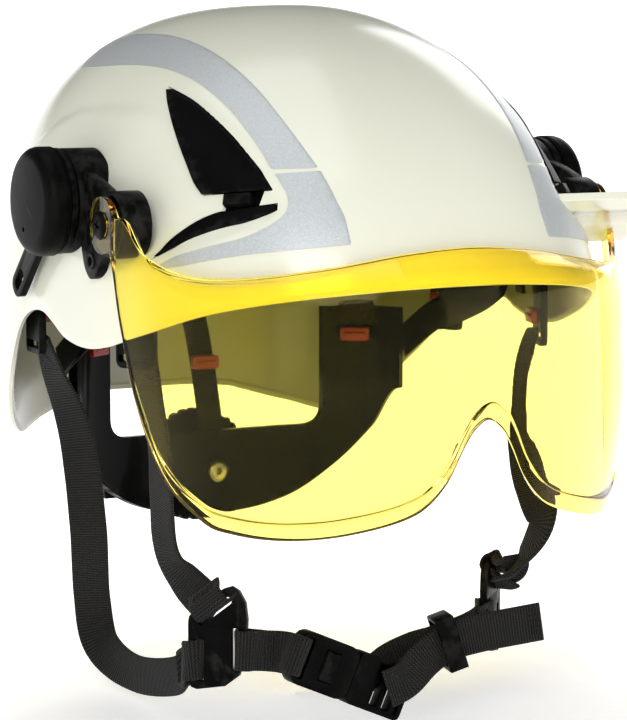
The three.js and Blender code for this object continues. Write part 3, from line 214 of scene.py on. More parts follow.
def black_look(name, base, rough, grain, wear=0.5, coat=0.0):
    """Moulded black plastic: spark texture of a given grain, faint flow marks and rubbed edges."""
    look = Look(name)
    flow = look.noise(35, 4, 0.6)
    tone = tuple(c * 1.7 for c in base)
    colour = look.blend(look.fit(flow, 0.35, 0.7, 0, 1), base, tone)
    rubbed = look.maths("MULTIPLY", look.worn(), wear)
    colour = look.blend(rubbed, colour, (0.035, 0.035, 0.034))
    leather = look.bump(look.noise(1500, 3, 0.7), grain, 0.6)
    leather = look.bump(look.noise(5200, 2), grain / 4, 0.4, leather)
    look.set(Base_Color=colour, Normal=leather, Specular_IOR_Level=0.04)
    look.set(Coat_Weight=coat, Coat_Roughness=0.08)
    uneven = look.maths(
        "ADD", look.fit(flow, 0.3, 0.7, rough - 0.05, rough + 0.06), look.maths("MULTIPLY", rubbed, -0.1)
    )
    return look.set(Roughness=uneven).material


def visor_look():
    """Clear yellow sheet. Its volume darkens to amber along an edge or a grazing view."""
    look = Look("visor_yellow")
    haze = look.noise(14, 4)
    wiped = look.fit(look.noise(90, 5, 0.75, look.stretched((1, 1, 12))), 0.55, 0.75, 0, 1)
    rough = look.maths("ADD", look.fit(haze, 0.3, 0.7, 0.012, 0.03), look.maths("MULTIPLY", wiped, 0.03))
    colour = look.blend(haze, (1.0, 0.99, 0.25), (1.0, 1.0, 0.29))
    look.set(Base_Color=colour, Transmission_Weight=1.0, IOR=1.5, Roughness=rough)
    look.set(Specular_Tint=(0.12, 0.12, 0.10))
    look.set(Normal=look.bump(look.noise(8, 2), 0.0002, 0.12))
    output = look.tree.nodes["Material Output"]
    lamps = look.add("ShaderNodeBsdfTransparent")
    lamps.inputs["Color"].default_value = (1.0, 0.94, 0.25, 1)
    path = look.add("ShaderNodeLightPath").outputs["Is Shadow Ray"]
    mix = look.add("ShaderNodeMixShader")
    look.link(path, mix.inputs[0])
    look.link(look.shader.outputs[0], mix.inputs[1])
    look.link(lamps.outputs[0], mix.inputs[2])
    look.link(mix.outputs[0], output.inputs["Surface"])
    absorb = look.add("ShaderNodeVolumeAbsorption")
    absorb.inputs["Color"].default_value = (0.94, 0.44, 0.0, 1)
    absorb.inputs["Density"].default_value = 90
    look.link(absorb.outputs[0], output.inputs["Volume"])
    return look.material


def webbing_look():
    """Narrow woven polyester: ribs across its width, from the strap's own UVs in millimetres."""
    base, thread_pitch, rib_pitch = (0.0025, 0.0025, 0.0025), 0.75, 1.15
    look = Look("webbing_black")
    uv = look.add("ShaderNodeUVMap", uv_map="weave").outputs["UV"]
    split = look.add("ShaderNodeSeparateXYZ")
    look.link(uv, split.inputs[0])
    across, along = split.outputs[0], split.outputs[1]

    def wave(v, pitch):
        return look.maths("SINE", look.maths("MULTIPLY", v, 2 * math.pi / pitch), 0.0)

    step = look.maths("MULTIPLY", wave(across, 2 * thread_pitch), 0.9)
    shifted = look.maths("ADD", look.maths("MULTIPLY", along, 2 * math.pi / rib_pitch), step)
    ribs = look.fit(look.maths("SINE", shifted, 0.0), -1, 1, 0, 1)
    threads = look.fit(wave(across, thread_pitch), -1, 1, 0, 1)
    cloth = look.maths("MULTIPLY", ribs, look.fit(threads, 0, 1, 0.65, 1))
    fuzz = look.noise(2600, 3, 0.8)
    # Rib tops lighter than the grooves: painted highlight on the ribs and painted shade between them
    light = tuple(c * 4 + 0.006 for c in base)
    colour = look.blend(look.fit(cloth, 0.2, 0.9, 0, 1), base, light)
    lint = look.fit(fuzz, 0.66, 0.78, 0, 0.35)
    colour = look.blend(lint, colour, (0.035, 0.035, 0.035))
    woven = look.bump(cloth, 0.00045, 0.9)
    look.set(Base_Color=colour, Normal=look.bump(fuzz, 0.00008, 0.5, woven), Sheen_Weight=0.05)
    return look.set(Roughness=look.fit(cloth, 0, 1, 0.9, 0.62), Specular_IOR_Level=0.22).material


def pad_look():
    look = Look("brow_pad_fabric")
    knit = look.cells(1100)
    pills = look.noise(500, 4, 0.7)
    colour = look.blend(look.fit(pills, 0.35, 0.7, 0, 1), (0.005, 0.005, 0.005), (0.016, 0.016, 0.017))
    soft = look.bump(look.noise(120, 3), 0.0005, 0.5)
    look.set(Base_Color=colour, Normal=look.bump(knit, 0.0003, 0.8, soft))
    look.set(Sheen_Weight=0.15, Sheen_Roughness=0.4)
    return look.set(Roughness=look.fit(pills, 0.3, 0.7, 0.85, 1.0)).material


def key_look():
    look = Look("key_red")
    flow = look.noise(90, 3)
    colour = look.blend(flow, (0.17, 0.004, 0.006), (0.26, 0.006, 0.010))
    look.set(Base_Color=colour, Normal=look.bump(look.noise(1800, 2), 0.00005, 0.5))
    return look.set(Roughness=look.fit(flow, 0.3, 0.7, 0.3, 0.42)).material


def steel_look():
    look = Look("screw_steel")
    rings = look.noise(300, 4, 0.6, look.stretched((1, 20, 1)))
    colour = look.blend(rings, (0.20, 0.19, 0.17), (0.42, 0.40, 0.37))
    look.set(Base_Color=colour, Metallic=1.0, Normal=look.bump(rings, 0.00006, 0.5))
    return look.set(Roughness=look.fit(rings, 0.3, 0.7, 0.22, 0.42)).material


def floor_look():
    """White paper with a painted glow: it emits light though it is no lamp, weaker near the hat and
    stronger away from it.
    """
    look = Look("paper")
    fibre = look.noise(160, 4, 0.6)
    colour = look.blend(fibre, (0.90, 0.90, 0.90), (0.93, 0.93, 0.93))
    reach = look.add("ShaderNodeVectorMath", operation="LENGTH")
    look.link(look.place, reach.inputs[0])
    # Painted glow: emission strength 0.35 within 0.1 m of the hat, rising to 1 beyond 0.4 m
    painted_floor_glow = look.fit(reach.outputs["Value"], 0.10, 0.40, 0.35, 1.0)
    look.set(Base_Color=colour, Normal=look.bump(fibre, 0.0001, 0.3))
    look.set(Emission_Color=(1.0, 1.0, 1.0), Emission_Strength=painted_floor_glow)
    return look.set(Roughness=look.fit(fibre, 0.3, 0.7, 0.8, 0.95)).material


def thread_look():
    look = Look("stitch_thread")
    twist = look.noise(2400, 2, 0.5, look.stretched((1, 3, 1)))
    colour = look.blend(twist, (0.004, 0.004, 0.004), (0.016, 0.016, 0.016))
    look.set(Base_Color=colour, Normal=look.bump(twist, 0.0001, 0.7), Sheen_Weight=0.2)
    return look.set(Roughness=look.fit(twist, 0.3, 0.7, 0.6, 0.85)).material


SHELL = shell_look()
REFLECTOR = reflector_look()
CAP_BLACK = black_look("cap_black", (0.0018, 0.0018, 0.0017), 0.38, 0.00005, 0.35)
VENT_BLACK = black_look("vent_black", (0.0016, 0.0016, 0.0016), 0.46, 0.00004, 0.25)
GLOSS_BLACK = black_look("band_black", (0.0008, 0.0008, 0.0008), 0.2, 0.00002, 0.1, 0.06)
HARDWARE = black_look("hardware_black", (0.0012, 0.0012, 0.0012), 0.36, 0.00005, 0.4)
VISOR = visor_look()
WEBBING = webbing_look()
PAD = pad_look()
KEY = key_look()
STEEL = steel_look()
THREAD = thread_look()

# ---------- mesh helpers


def face_out(obj):
    """Joins doubled points and turns every face outwards."""
    bm = bmesh.new()
    bm.from_mesh(obj.data)
    bmesh.ops.remove_doubles(bm, verts=bm.verts, dist=1e-6)
    bmesh.ops.recalc_face_normals(bm, faces=bm.faces)
    if bm.calc_volume(signed=True) < 0:
        bmesh.ops.reverse_faces(bm, faces=bm.faces)
    bm.to_mesh(obj.data)
    bm.free()


def finished(obj, body, replaces=(), slot=None, sharp=35):
    """Shades a piece, hangs it on its body and hides the CAD nodes it stands for."""
    obj.data.shade_smooth()
    obj.data.set_sharp_from_angle(angle=math.radians(sharp))
    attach(obj, body)
    if replaces:
        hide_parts(*replaces)
    return obj


def raw(name, verts_mm, faces, material=None):
    """A mesh in millimetres becomes an object in metres."""
    mesh = bpy.data.meshes.new(name)
    mesh.from_pydata([tuple(c * MM for c in v) for v in verts_mm], [], [tuple(f) for f in faces])
    obj = bpy.data.objects.new(name, mesh)
    scene.collection.objects.link(obj)
    if material:
        mesh.materials.append(material)
    face_out(obj)
    return obj


def applied(obj):
    """Bakes the object's modifiers into its mesh."""
    depsgraph = bpy.context.evaluated_depsgraph_get()
    mesh = bpy.data.meshes.new_from_object(obj.evaluated_get(depsgraph))
    obj.modifiers.clear()
    old = obj.data
    obj.data = mesh
    bpy.data.meshes.remove(old)
    return obj


def boolean(obj, operation, *tools):
    for tool in tools:
        modifier = obj.modifiers.new("cut", "BOOLEAN")
        modifier.operation = operation
        modifier.solver = "EXACT"
        modifier.object = tool
    applied(obj)
    for tool in tools:
        bpy.data.objects.remove(tool)
    return obj


def cut(obj, *shapes):
    return boolean(obj, "DIFFERENCE", *(raw("tool", *shape) for shape in shapes))


def join(obj, *shapes):
    return boolean(obj, "UNION", *(raw("tool", *shape) for shape in shapes))


def softened(obj, width, segments=2, angle=30):
    """Rounds every edge sharper than an angle by a width in millimetres."""
    modifier = obj.modifiers.new("edges", "BEVEL")
    modifier.width = width * MM
    modifier.segments = segments
    modifier.limit_method = "ANGLE"
    modifier.angle_limit = math.radians(angle)
    modifier.use_clamp_overlap = True
    return applied(obj)


def slab(columns, rows, point, wrap=False):
    """Two faces, point(i, j, 0) and point(i, j, 1), closed round the edge. Returns verts and faces."""
    verts = [point(i, j, s) for s in (0, 1) for j in range(rows) for i in range(columns)]

    def at(i, j, s):
        return s * rows * columns + j * columns + (i % columns)

    faces = []
    spans, last = columns if wrap else columns - 1, rows - 1
    for i in range(spans):
        for j in range(last):
            faces.append((at(i, j, 0), at(i + 1, j, 0), at(i + 1, j + 1, 0), at(i, j + 1, 0)))
            faces.append((at(i, j, 1), at(i, j + 1, 1), at(i + 1, j + 1, 1), at(i + 1, j, 1)))
        faces.append((at(i, 0, 0), at(i, 0, 1), at(i + 1, 0, 1), at(i + 1, 0, 0)))
        faces.append((at(i, last, 0), at(i + 1, last, 0), at(i + 1, last, 1), at(i, last, 1)))
    if not wrap:
        for i in (0, columns - 1):
            for j in range(rows - 1):
                faces.append((at(i, j, 0), at(i, j + 1, 0), at(i, j + 1, 1), at(i, j, 1)))
    return verts, faces


def rounded_outline(points, radius=2.0, steps=4):
    """Cuts the corners of a closed outline with short arcs."""
    out = []
    pts = [np.array(p, float) for p in points]
    for k, p in enumerate(pts):
        a, b = pts[k - 1] - p, pts[(k + 1) % len(pts)] - p
        la, lb = np.linalg.norm(a), np.linalg.norm(b)
        r = min(radius, la * 0.45, lb * 0.45)
        start, end = p + a / la * r, p + b / lb * r
        for s in np.linspace(0, 1, steps + 1):
            out.append((1 - s) ** 2 * start + 2 * s * (1 - s) * p + s * s * end)
    return out


def curve_through(points, per_span=6):
    """Catmull-Rom points through knots."""
    pts = [np.array(p, float) for p in points]
    last = len(pts) - 1
    out = []
    for k in range(last):
        p0, p1, p2, p3 = (pts[min(max(m, 0), last)] for m in (k - 1, k, k + 1, k + 2))
        for t in np.linspace(0, 1, per_span, endpoint=False):
            bend, turn = 2 * p0 - 5 * p1 + 4 * p2 - p3, 3 * p1 - p0 - 3 * p2 + p3
            out.append(0.5 * (2 * p1 + (p2 - p0) * t + bend * t**2 + turn * t**3))
    out.append(pts[-1])
    return out


def prism(outline, low, high, axis):
    """An outline extruded along X, where it holds (y, z), or along Y, where it holds (x, z)."""
    n = len(outline)
    verts = [(a, p[0], p[1]) if axis == "x" else (p[0], a, p[1]) for a in (low, high) for p in outline]
    faces = [tuple(range(n)), tuple(reversed(range(n, 2 * n)))]
    faces += [(k, (k + 1) % n, n + (k + 1) % n, n + k) for k in range(n)]
    return verts, faces


def lathe(profile, axis, centre, segments=72, bend=None):
    """A profile of (radius, along) points turned about an axis, X or Y, through centre."""
    verts, faces = [], []
    for r, a in profile:
        for k in range(segments):
            t = 2 * math.pi * k / segments
            u, v = r * math.cos(t), r * math.sin(t)
            if bend:
                u, v = bend(u, v, a)
            p = (a, u, v) if axis == "x" else (u, a, v)
            verts.append(tuple(p[i] + centre[i] for i in range(3)))
    m = len(profile)
    for row in range(0, (m - 1) * segments, segments):
        for k in range(segments):
            n = (k + 1) % segments
            faces.append((row + k, row + n, row + segments + n, row + segments + k))
    faces.append(tuple(range(segments)))
    faces.append(tuple(reversed(range((m - 1) * segments, m * segments))))
    return verts, faces


def spun(outline, degrees, centre=(0, 0)):
    """An outline turned about the origin, then moved to a centre."""
    c, s = math.cos(math.radians(degrees)), math.sin(math.radians(degrees))
    return [(centre[0] + u * c - v * s, centre[1] + u * s + v * c) for u, v in outline]


def rounded(outline, radius, steps):
    return [tuple(p) for p in rounded_outline(outline, radius, steps)]


# ---------- the shell's surface, in mm

HALF_WIDTH, HALF_LENGTH, PLAN_POWER = 109.0, 145.0, 2.3
EQUATOR_Z, CROWN_Z, FRONT_POWER, REAR_POWER, WALL = 18.0, 143.0, 1.75, 2.75, 3.0
RIM = [
    (0, 39), (20, 36.5), (40, 29), (58, 17), (72, 10), (84, 12), (97, 21),
    (110, 14), (124, -12), (142, -41), (154, -38), (166, -31.5), (180, -31),
]


def through(knots, x):
    """Smooth curve through (x, y) knots, level at both ends; x may be an array."""
    kx = np.array([k[0] for k in knots], float)
    ky = np.array([k[1] for k in knots], float)
    slopes = np.zeros(len(kx))
    slopes[1:-1] = (ky[2:] - ky[:-2]) / (kx[2:] - kx[:-2])
    at = np.clip(x, kx[0], kx[-1])
    i = np.clip(np.searchsorted(kx, at) - 1, 0, len(kx) - 2)
    span = kx[i + 1] - kx[i]
    t = (at - kx[i]) / span
    rise = (2 * t**3 - 3 * t**2 + 1) * ky[i] + (3 * t**2 - 2 * t**3) * ky[i + 1]
    return rise + (t**3 - 2 * t**2 + t) * span * slopes[i] + (t**3 - t**2) * span * slopes[i + 1]


def shell_power(a):
    return FRONT_POWER + (REAR_POWER - FRONT_POWER) * (0.5 - 0.5 * np.cos(a))


def plan_radius(a):
    side = np.abs(np.sin(a) / HALF_WIDTH) ** PLAN_POWER
    return (side + np.abs(np.cos(a) / HALF_LENGTH) ** PLAN_POWER) ** (-1 / PLAN_POWER)


def dome(a, level):
    """Points of the shell's outside, at angles from the front and levels from the rim to the crown."""
    foot = through(RIM, np.degrees(np.abs(np.arctan2(np.sin(a), np.cos(a)))))
    power = shell_power(a)
    rise = CROWN_Z - EQUATOR_Z
    skirt = np.maximum(EQUATOR_Z - foot, 0)
    share = skirt / (skirt + rise)
    plan = plan_radius(a)
    begin = np.arcsin((np.maximum(foot - EQUATOR_Z, 0) / rise) ** (power / 2))
    lift = begin + ((np.pi / 2 - begin) * (level - share)) / (1 - share)
    lift = np.clip(lift, 0, np.pi / 2)
    low = level < share
    radius = np.where(low, plan, plan * np.cos(lift) ** (2 / power))
    radius = np.where(level >= 1, 0, radius)
    height = np.where(low, foot + (skirt + rise) * level, EQUATOR_Z + rise * np.sin(lift) ** (2 / power))
    return np.stack([radius * np.sin(a), -radius * np.cos(a), height], -1)


# The scoop behind each side's front edge, [y, z], and the soft crease over the side cap
SCOOP = [
    (-14, 118), (-33, 112.6), (-54, 105), (-78, 94.2), (-95, 83.6), (-105, 73.5), (-109, 67.5), (-107, 61),
    (-89, 52.2), (-68, 44.6), (-48, 42), (-30, 60), (-20, 90),
]
CREASE = [(90, 40), (64, 74), (44, 87.7), (29, 95.5), (15, 99.9), (-7, 101.7), (-28, 101.4), (-46, 98)]


def nearest(outline, y, z):
    """Distance from points to a closed outline."""
    best = np.full(np.shape(y), 1e9)
    for (ay, az), (by, bz) in zip(outline, outline[1:] + outline[:1]):
        dy, dz = by - ay, bz - az
        t = np.clip(((y - ay) * dy + (z - az) * dz) / (dy * dy + dz * dz), 0, 1)
        best = np.minimum(best, np.hypot(y - ay - t * dy, z - az - t * dz))
    return best


def within(outline, y, z):
    inside = np.zeros(np.shape(y), bool)
    for (ay, az), (by, bz) in zip(outline, outline[1:] + outline[:1]):
        crosses = (az > z) != (bz > z)
        with np.errstate(divide="ignore", invalid="ignore"):
            inside ^= crosses & (y < (by - ay) * (z - az) / (bz - az) + ay)
    return inside


def ease(v):
    """0 to 1 with level ends."""
    v = np.clip(v, 0, 1)
    return v * v * (3 - 2 * v)


SCOOP_DEPTH, SCOOP_LIP, CREASE_STEP = 2.0, 4.5, 0.9


def relief(p):
    """How far the moulded surface lies out of the smooth dome."""
    x, y, z = np.abs(p[..., 0]), p[..., 1], p[..., 2]
    deep = np.where(within(SCOOP, y, z), ease(nearest(SCOOP, y, z) / SCOOP_LIP), 0)
    scoop = -SCOOP_DEPTH * deep * ease((-y - 24) / 55) * (x > 35)
    under = np.interp(-y, [-c[0] for c in CREASE], [c[1] for c in CREASE]) - z
    gone = ease((y + 52) / 30) * ease((95 - y) / 40) * (x > 35)
    crease = CREASE_STEP * ease(under / 3.2 + 0.5) * gone * ease((z - 25) / 50)
    return scoop + crease


def shell_surface(a, level, grow, moulded=True):
    """The dome moved out by grow, with the moulded relief or without it."""
    a, level = np.broadcast_arrays(np.asarray(a, float), np.asarray(level, float))
    point = dome(a, level)
    step = 0.01
    around = dome(a + step, level) - dome(a - step, level)
    up = dome(a, np.minimum(level + step, 1)) - dome(a, np.maximum(level - step, 0))
    normal = np.cross(around, up)
    size = np.linalg.norm(normal, axis=-1, keepdims=True)
    normal = np.where(size > 1e-9, normal / np.maximum(size, 1e-9), [0, 0, 1])
    normal = np.where((level >= 0.999)[..., None], [0, 0, 1], normal)
    out = grow + (relief(point) if moulded else 0)
    return point + normal * np.asarray(out)[..., None]


# ---------- shell

COLUMNS, ROWS = 240, 72


def shell_sheet(outer, inner, moulded_inside=False, round_rim=True):
    """A sheet between two distances from the dome, over the whole hat."""
    angles = np.arange(COLUMNS) * 2 * np.pi / COLUMNS
    levels = np.concatenate([[0, 0.004, 0.009], np.linspace(0.018, 1, ROWS - 3)])
    outside = shell_surface(angles[None, :], levels[:, None], outer)
    inside = shell_surface(angles[None, :], levels[:, None], inner, moulded_inside)
    if round_rim:
        middle = (outside[0] + inside[0]) / 2
        for face in (outside, inside):
            face[0] = middle + (face[0] - middle) * 0.45 - np.array([0, 0, 0.6])
            face[1] = middle + (face[1] - middle) * 0.86 - np.array([0, 0, 0.25])
            face[1][:, 2] = face[2][:, 2] - 0.55
    return slab(COLUMNS, ROWS, lambda i, j, s: tuple((outside, inside)[s][j, i]), wrap=True)


# Outlines seen from the side, (y, z), each with the knots that are its corners
VENT_UPPER = [
    (-31, 111), (-47, 106.6), (-59.2, 101.7), (-71.1, 95.7), (-82.5, 88.4), (-92.5, 80.8), (-101, 73.2),
    (-89, 71.8), (-78.6, 70.6), (-72.7, 75.1), (-66.3, 81.1), (-56.7, 89.6), (-46.6, 98.2), (-37.3, 105.7),
]
VENT_LOWER = [
    (-66.5, 45.9), (-71.4, 53.2), (-77, 58.6), (-82.1, 62.4), (-87, 64.9), (-94, 66.6), (-104.6, 68.8),
    (-105.8, 66), (-98.3, 61.4), (-92.4, 59.5), (-85.9, 57), (-78.9, 53.6), (-72.7, 49.5),
]
STRIP_UPPER = [
    (51.4, 117.4), (57.4, 125), (46.2, 129.2), (27.4, 131), (7, 130.9), (-9.4, 129.2), (-25.3, 126.2),
    (-41.2, 121.7), (-57.1, 115.5), (-71.8, 108), (-85.9, 98.9), (-98, 89.6), (-107, 81.6), (-96.7, 81),
    (-90.7, 86.7), (-83.7, 92.1), (-73.9, 98.7), (-64.2, 104.2), (-53, 109.2), (-41.8, 113.2),
    (-30.1, 116.1), (-18.5, 118), (-4.8, 118.9), (8.8, 118.8), (23.7, 118.2), (39, 117.6),
]
STRIP_LOWER = [
    (-98.9, 79.3), (-108.1, 80.6), (-113.4, 74.8), (-118.2, 68.8), (-122.6, 62.8), (-127.4, 54),
    (-116.8, 52), (-107.6, 50.4), (-98.7, 48.6), (-88.3, 46.2), (-79, 44), (-69.1, 42.3), (-77.9, 47.7),
    (-86.8, 50.9), (-94.7, 53.5), (-100.7, 55.5), (-104.8, 58), (-108, 61.2), (-109.4, 63.9),
    (-109.3, 66.6), (-107.6, 70.2), (-104.8, 73.7), (-101.8, 76.6),
]


def smooth_outline(knots, corners, radius=1.2):
    """A smooth closed outline with corners, slightly rounded, at the numbered knots."""
    out = []
    order = corners + [corners[0] + len(knots)]
    for a, b in zip(order, order[1:]):
        run = [knots[k % len(knots)] for k in range(a, b + 1)]
        out += curve_through(run, 4)[:-1]
    return [tuple(p) for p in rounded_outline(out, radius, 3)]


UPPER_VENT = smooth_outline(VENT_UPPER, [0, 6, 8])
LOWER_VENT = smooth_outline(VENT_LOWER, [0, 4, 6, 7])
UPPER_STRIP = smooth_outline(STRIP_UPPER, [0, 1, 12, 13])
LOWER_STRIP = smooth_outline(STRIP_LOWER, [0, 1, 5, 11])


SLIDER_SLOT = [(-86.5, 72.5), (-97.8, 73.0), (-99.4, 66.0), (-88.8, 63.0)]

shell = raw("shell", *shell_sheet(0, -WALL), SHELL)
for _, sign in SIDES:
    for outline in (UPPER_VENT, LOWER_VENT, SLIDER_SLOT):
        cut(shell, prism(outline, sign * 30, sign * 120, "x"))
finished(shell, "helmet", ["outer_shell"], "shell", 32)


def skin(name, outline, sign, outer, inner, material, node, slot):
    """A piece of skin that follows the shell inside an outline seen from the side."""
    obj = raw(name, *shell_sheet(outer, inner, True, False), material)
    boolean(obj, "INTERSECT", raw("tool", *prism(outline, sign * 30, sign * 125, "x")))
    return finished(obj, "helmet", [node], slot, 30)


for side, sign in SIDES:
    for part, outline in (("upper", UPPER_STRIP), ("lower", LOWER_STRIP)):
        name, node = f"strip_{part}_{side}", f"reflector_{part}_{side}"
        skin(name, outline, sign, 0.32, 0.06, REFLECTOR, node, "reflector")


def inset(outline, by):
    """An outline moved inwards by a distance, without the crossings a tight corner would give."""
    pts = [np.array(outline[0], float)]
    for p in outline[1:]:
        if np.linalg.norm(p - pts[-1]) > 0.25 and np.linalg.norm(p - pts[0]) > 0.25:
            pts.append(np.array(p, float))
    area = sum(a[0] * b[1] - b[0] * a[1] for a, b in zip(pts, pts[1:] + pts[:1]))
    turn = 1 if area > 0 else -1
    ends = np.array(pts)
    nexts = np.roll(ends, -1, axis=0)
    out = []
    for k, p in enumerate(pts):
        d = pts[(k + 1) % len(pts)] - pts[k - 1]
        moved = p + np.array([-d[1], d[0]]) / max(np.linalg.norm(d), 1e-9) * turn * by
        t = np.clip(((moved - ends) * (nexts - ends)).sum(1) / ((nexts - ends) ** 2).sum(1), 0, 1)
        gap = np.linalg.norm(ends + (nexts - ends) * t[:, None] - moved, axis=1).min()
        if gap > by * 0.95:
            out.append(tuple(moved))
    return out


VENT_GAP, VENT_BACK = 0.5, -1.8

for side, sign in SIDES:
    for part, outline, bulge in (("upper", UPPER_VENT, 1.1), ("lower", LOWER_VENT, 0.7)):
        name, node = f"vent_{part}_cover_{side}", f"vent_{part}_{side}"
        cover = skin(name, inset(outline, VENT_GAP), sign, bulge, VENT_BACK, VENT_BLACK, node, "vent")
        softened(cover, 0.55, 3, 40)
        cover.data.shade_smooth()
        cover.data.set_sharp_from_angle(angle=math.radians(35))

# ---------- visor

ARM_X, VISOR_WALL, VISOR_HALF_WIDTH, VISOR_REACH = 112.5, 2.4, 123.5, 158.0
PIVOT_Y, PIVOT_Z, EYE_RADIUS, PIN_RADIUS = -56.0, 59.0, 11.0, 4.0
BULGE, TUCK, EYE_START = 3.0, 4.0, 64.0
VISOR_TOP = [(0, 52.5), (15, 50.5), (30, 45.5), (45, 41.5), (54, 43), (60, 50), (64, 62)]
VISOR_EDGE = [
    (0, -10.5), (3, -14.5), (5.2, -21.5), (8, -33), (12, -42.5), (16, -47), (22.5, -51), (30, -54),
    (38, -55), (45, -53.5), (49, -50.5), (56, -35), (61, -8), (64, 22), (66, 44),
]
LEDGE_SHARE = [(0, 1), (40, 0.97), (52, 0.55), (62, 0.06), (75, 0.05)]
BAND_WIDTH, BAND_STAND, BEND_RADIUS = 6.6, 0.8, 8.0


def plain_radius(a, z):
    """Radius of the dome without its relief, at an angle and a height."""
    rise = max(z - EQUATOR_Z, 0) / (CROWN_Z - EQUATOR_Z)
    power = shell_power(a)
    return plan_radius(a) * (1 - rise**power) ** (1 / power)


def visor_profile(degrees):
    """Rows of one column: (how far out, height, stand of the edge band)."""
    a = abs(degrees)
    x, y = VISOR_HALF_WIDTH * math.sin(math.radians(a)), -VISOR_REACH * math.cos(math.radians(a))
    top = float(through(VISOR_TOP, a))
    room = math.hypot(x, y) - plain_radius(math.atan2(x, -y), top) - 3
    ledge = float(through(LEDGE_SHARE, a)) * (room - VISOR_WALL)
    bottom = float(through(VISOR_EDGE, a))
    if y > PIVOT_Y - EYE_RADIUS:
        share = min(max((y - PIVOT_Y + EYE_RADIUS) / EYE_RADIUS, 0), 1)
        half = math.sqrt(max(EYE_RADIUS**2 - (y - PIVOT_Y) ** 2, 0.16))
        top = PIVOT_Z + max(half, (1 - share) * (top - PIVOT_Z))
        bottom = PIVOT_Z - max(half, (1 - share) * (PIVOT_Z - bottom))
    bend = top - min(ledge * 0.6, (top - bottom) * 0.3)
    lens = min(max((EYE_START - a) / 20, 0), 1)
    height = bend - bottom

    def at(s):
        return np.array((lens * (BULGE * math.sin(math.pi * s) - TUCK * s**4), bend - height * s))

    rim, corner = np.array((-ledge, top)), np.array((0.0, bend))
    slope = math.hypot(ledge, top - bend)
    start = corner + (rim - corner) * min(BEND_RADIUS / slope, 0.7)
    turned = min(BEND_RADIUS / height, 0.3)
    rows = [(*(rim + (start - rim) * t), 0) for t in np.linspace(0, 1, 5)[:-1]]
    for t in np.linspace(0, 1, 9)[:-1]:
        rows.append((*((1 - t) ** 2 * start + 2 * t * (1 - t) * corner + t * t * at(turned)), 0))
    offsets = [BAND_WIDTH + d for d in (1.4, 0.4, 0.15, -0.1, -0.4, -2.2)] + [2.4, 0.8, 0]
    edge = [d * min(1, height / 24) for d in offsets]
    shares = list(np.linspace(turned, 1 - edge[0] / height, 14)) + [1 - d / height for d in edge[1:]]
    for s in shares:
        near = float(ease((BAND_WIDTH + 0.25 - (1 - s) * height) / 0.5)) * min(1, lens * 2)
        rows.append((*at(s), near * BAND_STAND))
    return rows


def visor_columns():
    end = math.degrees(math.acos(-(PIVOT_Y + EYE_RADIUS) / VISOR_REACH))
    lens = list(np.arange(0, EYE_START, 0.8))
    half = lens + list(EYE_START + (end - EYE_START) * np.linspace(0, 1, 22) ** 0.9)
    return [-a for a in reversed(half[1:])] + half


def visor_mesh():
    """The visor as one sheet, its wall laid on the inner side of the rows."""
    columns = visor_columns()
    rows = [visor_profile(c) for c in columns]
    n = len(rows[0])
    flat = np.zeros((len(columns), n, 3))
    stand = np.zeros((len(columns), n))
    for i, c in enumerate(columns):
        a = math.radians(c)
        for j, (out, z, band) in enumerate(rows[i]):
            limit = ARM_X + max(out, 0)
            x = min(max((VISOR_HALF_WIDTH + out) * math.sin(a), -limit), limit)
            flat[i, j] = (x, -(VISOR_REACH + out) * math.cos(a), z)
            stand[i, j] = band
    across = np.gradient(flat, axis=0)
    down = np.gradient(flat, axis=1)
    normal = np.cross(down, across)
    normal /= np.maximum(np.linalg.norm(normal, axis=-1, keepdims=True), 1e-9)
    middle = len(columns) // 2
    if (normal[middle, n // 2, :2] * flat[middle, n // 2, :2]).sum() > 0:
        normal = -normal
    for i, c in enumerate(columns):
        arm = float(ease((abs(c) - EYE_START + 7) / 6))
        normal[i] = (1 - arm) * normal[i] + arm * np.array((-math.copysign(1, c), 0, 0))
    normal /= np.maximum(np.linalg.norm(normal, axis=-1, keepdims=True), 1e-9)
    depth = (-stand, np.full_like(stand, VISOR_WALL))
    return slab(len(columns), n, lambda i, j, s: tuple(flat[i, j] + normal[i, j] * depth[s][i, j]))


visor = raw("visor_sheet", *visor_mesh(), VISOR)
for _, sign in SIDES:
    bore = [(PIN_RADIUS + 0.4, -8), (PIN_RADIUS + 0.4, 8)]
    cut(visor, lathe(bore, "x", (sign * ARM_X, PIVOT_Y, PIVOT_Z), 40))
softened(visor, 0.45, 2, 50)
finished(visor, "visor", ["visor"], "visor", 40)

# ---------- side caps, brackets and pins

CAP_Y, CAP_Z, CAP_RADIUS, CAP_FACE = -12.0, 66.0, 21.5, 125.0


def ring(name, profile, axis, centre, material, segments=72):
    """A closed ring: the profile joins back to its start."""
    verts, faces = lathe(profile, axis, centre, segments)
    faces = faces[:-2]
    m = len(profile)
    for k in range(segments):
        n = (k + 1) % segments
        faces.append(((m - 1) * segments + k, (m - 1) * segments + n, n, k))
    return raw(name, verts, faces, material)


